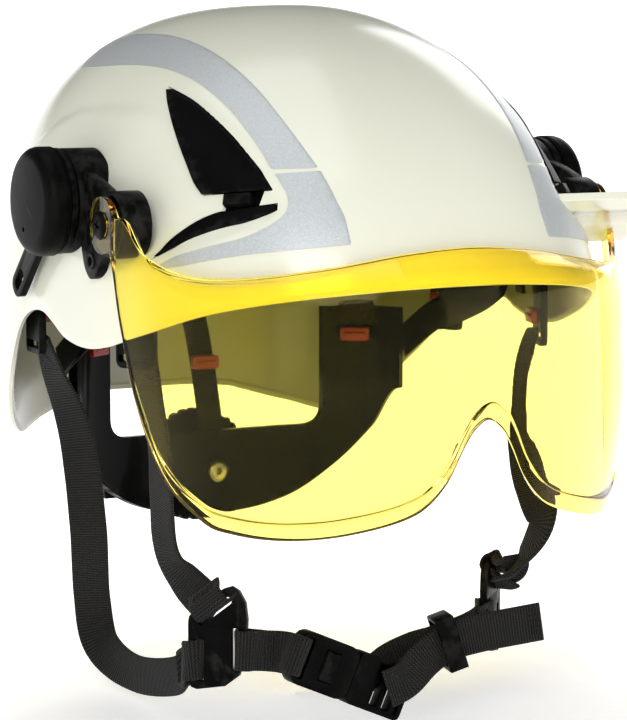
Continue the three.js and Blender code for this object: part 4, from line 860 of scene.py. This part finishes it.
# Profiles below are (radius, |x|)
SHOULDER_R, SHOULDER_AT, GROOVE = 5.2, 16.3, 0.35
CAP_PROFILE = [(0.05, CAP_FACE), (6, CAP_FACE - 0.08), (12, CAP_FACE - 0.35), (SHOULDER_AT, CAP_FACE - 0.8)]
for turn in (12, 30, 48, 66, 84, 90):
    across, along = math.sin(math.radians(turn)), math.cos(math.radians(turn))
    CAP_PROFILE.append((SHOULDER_AT + SHOULDER_R * across, CAP_FACE - 6 + SHOULDER_R * along))
CAP_PROFILE += [
    (CAP_RADIUS, CAP_FACE - 9.2), (CAP_RADIUS - GROOVE, CAP_FACE - 9.5),
    (CAP_RADIUS - GROOVE, CAP_FACE - 10.1), (CAP_RADIUS, CAP_FACE - 10.4),
    (CAP_RADIUS, 114.8), (CAP_RADIUS - 0.5, 114.4), (2, 114.4),
]
BASE_PROFILE = [
    (2, 96), (CAP_RADIUS - 0.8, 96), (CAP_RADIUS - 0.8, 109.4), (CAP_RADIUS - 1.6, 110.4), (2, 110.4),
]
DISC_PROFILE = [
    (6.6, 111.0), (CAP_RADIUS - 1.2, 111.0), (CAP_RADIUS - 0.6, 111.5), (CAP_RADIUS - 0.6, 113.6),
    (CAP_RADIUS - 1.2, 114.0), (6.6, 114.0),
]
CUP_PROFILE = [
    (2, 97), (13, 97), (13, 107.9), (12.6, 108.5), (11.6, 108.5), (11.1, 107.9), (11.1, 101), (6.6, 101),
    (6.6, 108), (6.1, 108.4), (4.4, 108.4), (4.4, 100.5), (2, 100.5),
]
PIN_PROFILE = [
    (0.05, 114.3), (3.6, 114.2), (5.0, 113.7), (5.5, 113.1), (5.5, 112.9), (PIN_RADIUS, 112.85),
    (PIN_RADIUS, 102.5), (0.05, 102.5),
]
PLATE = [
    (PIVOT_Y - 2, PIVOT_Z + 11), (PIVOT_Y + 12, PIVOT_Z + 16), (CAP_Y - 15.5, CAP_Z + 13),
    (CAP_Y - 15.5, CAP_Z - 15), (PIVOT_Y + 25, PIVOT_Z - 18), (PIVOT_Y + 20, PIVOT_Z - 22.5),
    (PIVOT_Y + 14, PIVOT_Z - 21), (PIVOT_Y + 9, PIVOT_Z - 13), (PIVOT_Y - 2, PIVOT_Z - 11),
]
PLATE_BACK, PLATE_FRONT = 104.3, 108.4
EYELETS = ((PIVOT_Y + 18, PIVOT_Z - 15, 2.0), (PIVOT_Y + 17.5, PIVOT_Z + 3, 1.9))
DRIVE_SLOT = [(-0.5, -2.4), (0.5, -2.4), (0.5, 2.4), (-0.5, 2.4)]

for side, sign in SIDES:
    centre, pivot = (0, CAP_Y, CAP_Z), (0, PIVOT_Y, PIVOT_Z)

    def sided(profile):
        return [(r, sign * a) for r, a in profile]

    cap = raw(f"cap_{side}", *lathe(sided(CAP_PROFILE), "x", centre, 96), CAP_BLACK)
    cut(cap, lathe(sided([(1.1, 122.5), (1.1, 130)]), "x", (0, CAP_Y + 3, CAP_Z - 11), 20))
    finished(cap, "helmet", [f"side_cap_{side}"], "cap", 40)

    base = raw(f"adapter_{side}", *lathe(sided(BASE_PROFILE), "x", centre, 96), CAP_BLACK)
    join(base, lathe(sided([(5.6, 108), (5.6, 119.4)]), "x", centre, 40))
    finished(base, "helmet", [f"adapter_base_{side}"], "cap", 40)

    disc = ring(f"lever_disc_{side}", sided(DISC_PROFILE), "x", centre, CAP_BLACK, 96)
    finished(disc, f"adapter_lever_{side}", (), "cap", 40)

    plate = prism(rounded(PLATE, 5, 6), sign * PLATE_BACK, sign * PLATE_FRONT, "x")
    bracket = raw(f"bracket_{side}", *plate, CAP_BLACK)
    boolean(bracket, "UNION", ring("tool", sided(CUP_PROFILE), "x", pivot, CAP_BLACK, 80))
    hollow = [(6.7, 101.1), (11.0, 101.1), (11.0, 112), (6.7, 112)]
    boolean(bracket, "DIFFERENCE", ring("tool", sided(hollow), "x", pivot, CAP_BLACK, 80))
    cut(bracket, lathe(sided([(4.4, 100.6), (4.4, 112)]), "x", pivot, 40))
    for y, z, r in EYELETS:
        rim = [(r, 106), (r + 1.4, 106), (r + 1.4, 108.9), (r + 1.0, 109.2), (r, 109.2)]
        boolean(bracket, "UNION", ring("tool", sided(rim), "x", (0, y, z), CAP_BLACK, 32))
        cut(bracket, lathe(sided([(r, 90), (r, 115)]), "x", (0, y, z), 32))
    softened(bracket, 0.3, 2, 40)
    finished(bracket, "helmet", [f"visor_bracket_{side}"], "cap", 35)

    pin = raw(f"pin_{side}", *lathe(sided(PIN_PROFILE), "x", pivot, 56), HARDWARE)
    for turn in (20, 110):
        cut(pin, prism(spun(DRIVE_SLOT, turn, (PIVOT_Y, PIVOT_Z)), sign * 113.4, sign * 118, "x"))
    finished(pin, "helmet", [f"hinge_pin_{side}"], "hardware", 35)

# ---------- webbing

WEB, THICK = 16.0, 1.5
# Across a strap, as shares of half its width and half its thickness: selvedges a little thicker, then thin
SELVEDGE = [(0.3, 0.97), (0.6, 1), (0.88, 1.06), (0.95, 0.88), (0.985, 0.6), (1, 0.22)]
ACROSS = [(-u, t) for u, t in reversed(SELVEDGE)] + [(0, 0.97)] + SELVEDGE


def strap(name, stations, width, steps, node, material=WEBBING, slot="webbing", ripple=0.12, mirror=False):
    """Flat webbing through stations (place, direction across), with rounded selvedges and a weave map."""
    p = np.array(curve_through([place for place, _ in stations], steps))
    along = np.gradient(p, axis=0)
    along /= np.linalg.norm(along, axis=1, keepdims=True)
    w = np.array(curve_through([across for _, across in stations], steps))
    w -= along * (w * along).sum(1, keepdims=True)
    w /= np.linalg.norm(w, axis=1, keepdims=True)
    out = np.cross(along, w)
    length = np.concatenate([[0], np.cumsum(np.linalg.norm(np.diff(p, axis=0), axis=1))])
    u = np.array([share for share, _ in ACROSS]) * width / 2
    thin = np.array([share for _, share in ACROSS]) * THICK / 2
    m, n = len(u), len(p)
    wave = ripple * np.sin(length / 7.0) + ripple * 0.6 * np.sin(length / 3.1 + 1)

    def point(i, j, s):
        lift = thin[i] * (1 if s else -1) + wave[j] * (abs(u[i]) / (width / 2)) ** 2
        return tuple(p[j] + w[j] * u[i] + out[j] * lift)

    verts, faces = slab(m, n, point)
    if mirror:
        verts = [(-x, y, z) for x, y, z in verts]
    mesh = bpy.data.meshes.new(name)
    mesh.from_pydata([tuple(c * MM for c in v) for v in verts], [], faces)
    layer = mesh.uv_layers.new(name="weave")
    for loop in mesh.loops:
        k = loop.vertex_index % (m * n)
        layer.data[loop.index].uv = (u[k % m], length[k // m])
    obj = bpy.data.objects.new(name, mesh)
    scene.collection.objects.link(obj)
    mesh.materials.append(material)
    face_out(obj)
    finished(obj, "helmet", [node] if node else [], slot, 50)
    return {"p": p, "w": w, "out": out, "length": length}


THREAD_RADIUS, THREAD_RISE, STITCH_PITCH = 0.2, 0.22, 2.2
THREAD_SIDES, THREAD_RINGS = 5, 5


def stitch_lines(pattern, width, start, end):
    """Sewn lines as (across, along, across, along): a frame, a frame with a cross, or bars."""
    half = width / 2
    if pattern == "bar":
        return [(-half, v, half, v) for v in np.linspace(start, end, 5)]
    frame_lines = [(-half, start, -half, end), (half, start, half, end)]
    frame_lines += [(-half, start, half, start), (-half, end, half, end)]
    return frame_lines + [(-half, start, half, end), (half, start, -half, end)]


def stitches(name, path, start, end, width, offset, pattern="box"):
    """Sewn thread over a strap from one length to another: short raised stitches in rows."""
    verts, faces = [], []

    def at(v):
        tracks = (path["p"], path["w"], path["out"])
        return [np.array([np.interp(v, path["length"], track[:, c]) for c in range(3)]) for track in tracks]

    for u0, v0, u1, v1 in stitch_lines(pattern, width, start, end):
        count = max(int(math.hypot(u1 - u0, v1 - v0) / STITCH_PITCH), 1)
        for k in range(count):
            a, b = (k + 0.12) / count, (k + 0.88) / count
            base = len(verts)
            for t in np.linspace(a, b, THREAD_RINGS):
                p, w, out = at(v0 + (v1 - v0) * t)
                lift = offset + math.copysign(THREAD_RISE * math.sin(math.pi * (t - a) / (b - a)), offset)
                centre = p + w * (u0 + (u1 - u0) * t) + out * lift
                for m in range(THREAD_SIDES):
                    r = 2 * math.pi * m / THREAD_SIDES
                    verts.append(tuple(centre + (w * math.cos(r) + out * math.sin(r)) * THREAD_RADIUS))
            for ring_at in range(base, base + THREAD_SIDES * (THREAD_RINGS - 1), THREAD_SIDES):
                for m in range(THREAD_SIDES):
                    n = (m + 1) % THREAD_SIDES
                    quad = (m, n, THREAD_SIDES + n, THREAD_SIDES + m)
                    faces.append(tuple(ring_at + q for q in quad))
            last = base + THREAD_SIDES * (THREAD_RINGS - 1)
            faces.append(tuple(base + m for m in range(THREAD_SIDES)))
            faces.append(tuple(last + m for m in reversed(range(THREAD_SIDES))))
    obj = raw(name, verts, faces, THREAD)
    return finished(obj, "helmet", (), "webbing", 60)


# Each strap as stations: (place, direction across it)
STRAPS = {
    "rear_hanger_strap": [
        ((0, 78.2, -44.5), (1, 0, 0)), ((0, 81.5, -32), (1, 0, 0)), ((0, 87.4, -14), (1, 0, 0)),
        ((0, 96, 6), (1, 0, 0)), ((0, 113, 26), (1, 0, 0)), ((0, 133.6, 41), (1, 0, 0)),
    ],
    "chin_leg_rear_R": [
        ((-96.3, 39.7, 8), (-0.12, -1, 0)), ((-91, 41.5, -8), (0.2, -0.95, 0)),
        ((-81, 41, -36), (0.65, -0.76, 0)), ((-75.5, 42, -75), (0.8, -0.6, 0)),
        ((-71, 49, -106), (0.78, -0.62, 0)), ((-68, 46, -127), (0.6, -0.3, 0.7)),
        ((-64, 22, -135), (0.1, 0.1, 1)), ((-62, -12, -130), (0, -0.1, 1)),
        ((-63.4, -30, -121), (0, -0.3, 1)), ((-61.3, -42, -116), (0, 0, 1)),
    ],
    "chin_leg_front_R": [
        ((-90.3, -45, 9), (0.37, -0.93, 0)), ((-86, -43.5, -9), (0.2, -1, 0)),
        ((-80, -38.5, -33), (0.1, -1, 0)), ((-72.5, -27, -72), (0.2, -1, 0)),
        ((-65, -31, -87), (0.45, -0.8, 0.4)), ((-59.6, -46.4, -97), (0.5, -0.5, 0.7)),
    ],
    "chin_leg_front_L": [
        ((90.3, -45, 9), (-0.37, -0.93, 0)), ((84, -45.5, -12), (-0.1, -1, 0)),
        ((80, -51, -33), (0.1, -1, 0)), ((76, -66, -50), (0.1, -0.8, -0.5)),
        ((71, -82, -66), (0, -0.9, -0.3)), ((66, -74, -82), (-0.2, -0.9, 0.3)),
        ((64.8, -64.5, -92), (-0.6, -0.6, 0.5)),
    ],
    "buckle_strap": [
        ((-53.2, -53, -111), (0.2, 0, 1)), ((-42, -58.6, -112.4), (0.25, 0, 1)),
        ((-28.3, -60.6, -115.9), (0.4, 0, 0.91)),
    ],
    "load_strap": [
        ((2, -60.4, -128), (-0.3, 0, 1)), ((12, -59.6, -122.5), (-0.4, 0, 1)),
        ((21, -63.5, -118), (-0.35, 0, 1)), ((28, -70.4, -114.6), (-0.32, 0, 1)),
        ((41, -73.7, -110.3), (-0.3, 0, 1)), ((48.5, -69.5, -108.6), (-0.1, 0, 1)),
        ((54.2, -59.1, -108), (0, 0, 1)),
    ],
    "tail_strap": [
        ((5, -71.4, -130.6), (0.2, 0, 1)), ((13, -72, -127.5), (-0.2, 0, 1)),
        ((21, -73.8, -119.5), (-0.4, 0, 1)), ((31, -76, -113.2), (-0.3, 0, 1)),
        ((46, -81, -109.3), (-0.2, 0, 1)), ((67, -88.5, -105.8), (-0.15, 0, 1)),
    ],
}
STRAP_WIDTHS = {"rear_hanger_strap": 12}
PATHS = {}
for node, stations in STRAPS.items():
    PATHS[node] = strap(f"{node}_web", stations, STRAP_WIDTHS.get(node, WEB), 9, node)


def end_of(path):
    return float(path["length"][-1])


SEWN = (
    ("chin_leg_rear_R", 4, 16, "box"),
    ("chin_leg_front_R", 4, 16, "box"),
    ("chin_leg_front_L", 4, 16, "box"),
    ("buckle_strap", 3, 13, "box"),
    ("tail_strap", 66, 70, "bar"),
    ("rear_hanger_strap", 4, 12, "box"),
)
for node, start, end, pattern in SEWN:
    path = PATHS[node]
    end = min(end, end_of(path) - 1.5)
    width = STRAP_WIDTHS.get(node, WEB) - 4
    for letter, face_sign in (("a", 1), ("b", -1)):
        stitches(f"{node}_sewn_{letter}", path, start, end, width, face_sign * THICK / 2, pattern)

C45 = math.sqrt(0.5)
TILT = math.radians(24)
BUCKLE_X, BUCKLE_Z = (math.cos(TILT), 0, -math.sin(TILT)), (math.sin(TILT), 0, math.cos(TILT))
# Origin and three axes of each fitting
FRAMES = {
    "fork_R": ((-60, -50, -107), (C45, -C45, 0), (C45, C45, 0), (0, 0, 1)),
    "fork_L": ((62, -57, -104), (-C45, -C45, 0), (-C45, C45, 0), (0, 0, 1)),
    "buckle": ((-10, -66, -124), BUCKLE_X, (0, 1, 0), BUCKLE_Z),
}
UP = (0, 0, 1)
SLANT = (0.79, 0, 0.62)
# Where a strap turns round a bar and is sewn back to itself: stations in the fitting's own frame
LOOPS = {
    "rear_leg_loop": ("fork_R", [
        ((-7.5, 3.0, -9), UP), ((-7.5, 0.2, -9), UP), ((-8.5, -2.6, -9), UP), ((-11, -3.2, -9.2), UP),
        ((-13.9, -1.6, -9.8), UP), ((-15.8, 3.2, -11.6), (0.1, -0.1, 1)),
        ((-18.6, 9.4, -14.6), (0.2, -0.2, 1)), ((-22, 14.4, -17.6), (0.2, -0.2, 1)),
    ]),
    "front_leg_loop": ("fork_R", [
        ((-1.5, 3.0, 11), SLANT), ((-1.5, 0.2, 11), SLANT), ((-2.1, -2.6, 11.7), SLANT),
        ((-3.6, -3.2, 13.6), SLANT), ((-5.4, -2.0, 15.9), SLANT), ((-6.6, 1.4, 17.5), SLANT),
        ((-7.6, 3.6, 18.8), SLANT),
    ]),
    "buckle_strap_loop": ("fork_R", [
        ((7.2, 3.0, -4), UP), ((7.2, 0.2, -4), UP), ((8.2, -2.6, -4), UP), ((10.4, -3.2, -4.1), UP),
        ((13.4, -1.8, -4.3), (0.1, 0.1, 1)), ((15.4, 1.4, -4.6), (0.14, 0.14, 1)),
        ((19, 4.6, -5.2), (0.14, 0.14, 1)), ((23.5, 8.2, -6.2), (0.14, 0.14, 1)),
    ]),
    "load_strap_loop": ("fork_L", [
        ((7.2, 3.2, -4), UP), ((7.2, 0.2, -4), UP), ((8.2, -2.6, -4), UP), ((10.4, -3.3, -4.1), UP),
        ((13.2, -2.8, -4.2), UP), ((16, -2.0, -4.3), UP), ((19, -1.6, -4.6), UP), ((22.5, -0.4, -5), UP),
    ]),
    "far_leg_loop": ("fork_L", [
        ((3.3, -7.3, 12), (0.85, 0, 0.5)), ((0.2, -3.6, 11.2), SLANT), ((-1.5, 0, 11), SLANT),
        ((-2.1, 2.6, 11.8), SLANT), ((-3.6, 3.2, 13.6), SLANT), ((-5.4, 1.9, 15.9), SLANT),
        ((-5.8, -1, 16.5), SLANT), ((-3.8, -4.6, 16.6), SLANT), ((0.8, -7.3, 16.2), (0.83, 0, 0.56)),
        ((5.3, -10.3, 18.6), (0.85, 0, 0.5)), ((8.4, -13.8, 23), (0.85, 0, 0.5)),
    ]),
    "socket_loop": ("buckle", [
        ((-23.8, 3.4, 0), UP), ((-23.8, 0, 0), UP), ((-24, -3.2, 0), UP), ((-25.3, -5.1, 0), UP),
        ((-28.3, -5.1, 0), UP), ((-30.2, -2.6, -0.1), UP), ((-31, 1.4, -0.5), (-0.1, 0, 1)),
        ((-33.4, 4.5, -1.6), (-0.17, 0, 1)), ((-37.5, 6.2, -3.1), (-0.17, 0, 1)),
    ]),
}
for name, (fitting, stations) in LOOPS.items():
    origin, *axes = (np.array(v, float) for v in FRAMES[fitting])
    axes = np.array(axes)
    turned = [(origin + np.array(place) @ axes, np.array(across) @ axes) for place, across in stations]
    loop = strap(name, turned, WEB, 8, None, ripple=0.05)
    stitches(f"{name}_sewn", loop, end_of(loop) - 7, end_of(loop) - 1.5, WEB - 4, -THICK / 2, "bar")

# The cradle: two straps crossing over the crown, the second one lying on the first
CRADLE_REACH, CRADLE_FOOT, CRADLE_TOP, CRADLE_ROUND = 95.9, 24.0, 100.0, 0.85
for k, turn, lift in ((1, 65, 0), (2, -65, 2.3)):
    s, c = math.sin(math.radians(turn)), math.cos(math.radians(turn))
    stations = []
    for t in (0, 14, 30, 48, 68, 90, 112, 132, 150, 166, 180):
        cosine = math.cos(math.radians(t))
        reach = math.copysign(CRADLE_REACH * abs(cosine) ** CRADLE_ROUND, cosine)
        up = max(math.sin(math.radians(t)), 0) ** CRADLE_ROUND
        z = CRADLE_FOOT + (CRADLE_TOP + lift - CRADLE_FOOT) * up
        stations.append(((reach * s, -reach * c, z), (c, s, 0)))
    path = strap(f"crown_strap_{k}_web", stations, 20, 6, f"crown_strap_{k}")
    stitches(f"crown_strap_{k}_sewn", path, 4, 14, 15, THICK / 2)

BAND_TAIL = [((-83.4, 0, 18), (0, 0.3, 1)), ((-83.6, 26, 8), (0, 0.4, 1)), ((-83.2, 52, -6), (0, 0.5, 1))]
for side, sign in SIDES:
    name, node = f"band_tail_{side}_strip", f"band_tail_{side}"
    strap(name, BAND_TAIL, 14, 10, node, GLOSS_BLACK, "band", 0, sign > 0)

# ---------- headband

BROW_X, BROW_Y, BROW_Z, BROW_FALL = 82.0, 106.0, 52.0, 0.3


def brow_loop(grow, wall, height, end, columns, rows):
    """A band on an ellipse, out to an angle on each side, with edges that round over."""
    def point(i, j, s):
        a = math.radians(end * (2 * i / (columns - 1) - 1))
        v = 2 * j / (rows - 1) - 1
        round_off = 1 - v**6
        inner, outer = wall * (0.5 + 0.5 * round_off), wall * 0.5 * (1 - round_off)
        shrink = grow - (inner if s else outer)
        y = -(BROW_Y + shrink) * math.cos(a)
        z = BROW_Z - BROW_FALL * (y + BROW_Y) + v * height / 2
        return ((BROW_X + shrink) * math.sin(a), y, z)

    return slab(columns, rows, point)


brow = raw("brow_band_strip", *brow_loop(0, 2, 26, 98, 121, 13), GLOSS_BLACK)
finished(brow, "helmet", ["brow_band"], "band", 50)

VOXEL, SWELL_PRESSURE, SWELL_FRAMES, SWELL_LIMIT = 0.0016, 3.0, 12, 0.0006

pad = raw("brow_pad_cushion", *brow_loop(-2.6, 3.3, 21, 54, 61, 9), PAD)
remesh = pad.modifiers.new("even", "REMESH")
remesh.mode = "VOXEL"
remesh.voxel_size = VOXEL
applied(pad)
rest = np.array([v.co for v in pad.data.vertices])
cloth = pad.modifiers.new("swell", "CLOTH")
cloth.settings.use_pressure = True
cloth.settings.uniform_pressure_force = SWELL_PRESSURE
cloth.settings.quality = 5
cloth.settings.effector_weights.gravity = 0
for frame_number in range(1, SWELL_FRAMES + 1):
    scene.frame_set(frame_number)
applied(pad)
moved = np.array([v.co for v in pad.data.vertices]) - rest
size = np.linalg.norm(moved, axis=1, keepdims=True)
kept = rest + moved * np.minimum(1, SWELL_LIMIT / np.maximum(size, 1e-9))
pad.data.vertices.foreach_set("co", kept.ravel())
scene.frame_set(1)
even = pad.modifiers.new("smooth", "SMOOTH")
even.iterations = 4
applied(pad)
finished(pad, "helmet", ["brow_pad"], "pad", 80)

# ---------- nape yoke and ratchet

YOKE_X, YOKE_Y, YOKE_POWER, YOKE_TOP, YOKE_OUT = 84.0, 76.0, 4.2, 10.0, 81.0
YOKE_EDGE = [(0, -80), (36, -75), (60, -61), (74, -44), (81, -26)]
RATCHET_Z = -61.0


YOKE_COLUMNS, YOKE_ROWS, YOKE_WALL = 141, 41, 3.0


def yoke_point(i, j, s):
    """The yoke's plate on a squared ellipse, its lower edge an arc, with one raised rib."""
    t = (2 * i / (YOKE_COLUMNS - 1) - 1) * (math.pi / 2) * 0.985
    x = YOKE_OUT * math.sin(t)
    low = float(through(YOKE_EDGE, abs(x)))
    z = low + (YOKE_TOP - low) * j / (YOKE_ROWS - 1)
    rib = 0.7 * float(ease((z + 49.5) / 1.2) - ease((z + 44.5) / 1.2)) if abs(x) < 60 else 0
    shrink = YOKE_WALL if s else -rib
    xs = x * (1 - shrink / YOKE_X)
    share = abs(xs / (YOKE_X - shrink)) ** YOKE_POWER
    y = (YOKE_Y - shrink) * max(1 - share, 0) ** (1 / YOKE_POWER)
    return (xs, y, z)


def rectangle(x0, x1, z0, z1, r, steps):
    return rounded([(x0, z0), (x1, z0), (x1, z1), (x0, z1)], r, steps)


yoke = raw("nape_yoke_frame", *slab(YOKE_COLUMNS, YOKE_ROWS, yoke_point), GLOSS_BLACK)
cut(yoke, prism(rectangle(-52, 52, -43, 60, 9, 8), 16, 100, "y"))
cut(yoke, lathe([(2.4, 40), (2.4, 100)], "y", (0, 0, RATCHET_Z), 32))
for _, sign in SIDES:
    lug = raw("tool", *prism(rectangle(-8, 8, -4, 8, 3, 5), -2, 2, "y"))
    place = Matrix.Translation((sign * 66 * MM, (YOKE_Y - 12) * MM, (YOKE_TOP - 4) * MM))
    lug.data.transform(place @ Matrix.Rotation(math.radians(sign * -35), 4, "Z"))
    boolean(yoke, "UNION", lug)
softened(yoke, 0.9, 3, 45)
finished(yoke, "helmet", ["nape_yoke"], "band", 40)

GRIPS, KNOB_R, KNOB_Y = 30, 25.0, 91.8
# The knob's profile, (share of its radius, distance behind its front)
KNOB_PROFILE = [
    (0.06, 0), (0.88, 0), (0.955, 0.5), (1, 1.6), (1, 7.4), (0.965, 9.0), (0.9, 9.8),
    (0.8, 10), (0.72, 9.7), (0.66, 8.7), (0.3, 8.4), (0.06, 8.4),
]


def grip(u, v, a):
    """Moves a point of the knob in where a groove between two grips is cut."""
    r, t = math.hypot(u, v), math.atan2(v, u)
    rim = float(ease((r / KNOB_R - 0.82) / 0.1))
    cut_in = 1.1 * max(0.0, math.cos(GRIPS * t)) ** 0.6 * rim
    return u * (1 - cut_in / max(r, 1)), v * (1 - cut_in / max(r, 1))


knob_rows = [(share * KNOB_R, KNOB_Y + back) for share, back in KNOB_PROFILE]
knob = raw("knob", *lathe(knob_rows, "y", (0, 0, RATCHET_Z), GRIPS * 12, grip), CAP_BLACK)
WING = [(7, -1.1), (14.6, -1.1), (14.6, 1.1), (7, 1.1)]
for turn in (90, 210, 330):
    join(knob, prism(rounded(spun(WING, turn, (0, RATCHET_Z)), 0.9, 4), KNOB_Y + 8, KNOB_Y + 9.5, "y"))
cut(knob, lathe([(2.4, KNOB_Y - 5), (2.4, KNOB_Y + 6)], "y", (0, 0, RATCHET_Z), 24))
finished(knob, "ratchet_wheel", ["ratchet_knob"], "hardware", 35)

# The screw's profile, (radius, y): a hollow in a domed head, then the shank
SCREW_PROFILE = [
    (0.05, 73.0), (1.7, 73.0), (1.7, 70.9), (3.6, 70.5), (4.6, 71.0), (5.0, 71.7), (5.0, 72.5),
    (2.0, 72.55), (2.0, 96.5), (0.05, 96.5),
]
screw = raw("screw", *lathe(SCREW_PROFILE, "y", (0, 0, RATCHET_Z), 48), STEEL)
finished(screw, "helmet", ["ratchet_screw"], "steel", 35)

# ---------- the rest of the moulded pieces


def moulded(node, body, material, slot, edge):
    """A CAD node's own shape, with its edges rounded as moulded plastic has them."""
    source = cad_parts[node]
    obj = bpy.data.objects.new(f"{node}_moulded", source.data.copy())
    scene.collection.objects.link(obj)
    obj.data.materials.clear()
    obj.data.materials.append(material)
    bm = bmesh.new()
    bm.from_mesh(obj.data)
    bmesh.ops.remove_doubles(bm, verts=bm.verts, dist=2e-6)
    bmesh.ops.dissolve_limit(bm, angle_limit=math.radians(1.5), verts=bm.verts, edges=bm.edges)
    bm.to_mesh(obj.data)
    bm.free()
    if obj.data.has_custom_normals:
        obj.data.normals_split_custom_set([(0, 0, 0)] * len(obj.data.loops))
    softened(obj, edge, 2, 35)
    finished(obj, body, [node], slot, 38)


# Node, body, material, slot, and the width of its rounded edges in millimetres
MOULDED = [
    ("ratchet_housing", "helmet", HARDWARE, "hardware", 0.8),
    ("ratchet_pinion", "ratchet_wheel", HARDWARE, "hardware", 0.15),
    ("rack_R", "rack_R", HARDWARE, "hardware", 0.4),
    ("rack_L", "rack_L", HARDWARE, "hardware", 0.4),
    ("key_rear_centre", "helmet", KEY, "key", 0.35),
    ("hanger_rear_centre", "helmet", HARDWARE, "hardware", 0.5),
    ("buckle_socket", "helmet", HARDWARE, "hardware", 0.9),
    ("buckle_insert", "helmet", HARDWARE, "hardware", 0.8),
    ("buckle_button", "buckle_button", HARDWARE, "hardware", 0.5),
    ("strap_keeper", "strap_keeper", HARDWARE, "hardware", 0.6),
]
for side, _ in SIDES:
    MOULDED += [
        (f"vent_slider_{side}", f"vent_slider_{side}", VENT_BLACK, "vent", 0.3),
        (f"adapter_lever_{side}", f"adapter_lever_{side}", CAP_BLACK, "cap", 0.6),
        (f"hanger_front_{side}", "helmet", HARDWARE, "hardware", 0.5),
        (f"hanger_rear_{side}", "helmet", HARDWARE, "hardware", 0.5),
        (f"key_front_{side}", "helmet", KEY, "key", 0.35),
        (f"key_rear_{side}", "helmet", KEY, "key", 0.35),
        (f"key_nape_{side}", "helmet", KEY, "key", 0.35),
        (f"strap_fork_{side}", "helmet", HARDWARE, "hardware", 0.8),
    ]
for entry in MOULDED:
    moulded(*entry)

# ---------- floor

# The floor's profile, (distance from the hat, height over the floor), rising far behind and all round
SWEEP = [(1, 0), (1500, 0), (2500, 0), (3000, 40), (3300, 200), (3450, 800)]
FLOOR_Z, FLOOR_WALL, FLOOR_COLUMNS = -146.5, 8, 96


def floor_point(i, j, s):
    (reach, rise), turn = SWEEP[j], 2 * math.pi * i / FLOOR_COLUMNS
    return (reach * math.cos(turn), reach * math.sin(turn), rise + FLOOR_Z - FLOOR_WALL * s)


floor = raw("floor", *slab(FLOOR_COLUMNS, len(SWEEP), floor_point, True), floor_look())
floor.data.shade_smooth()
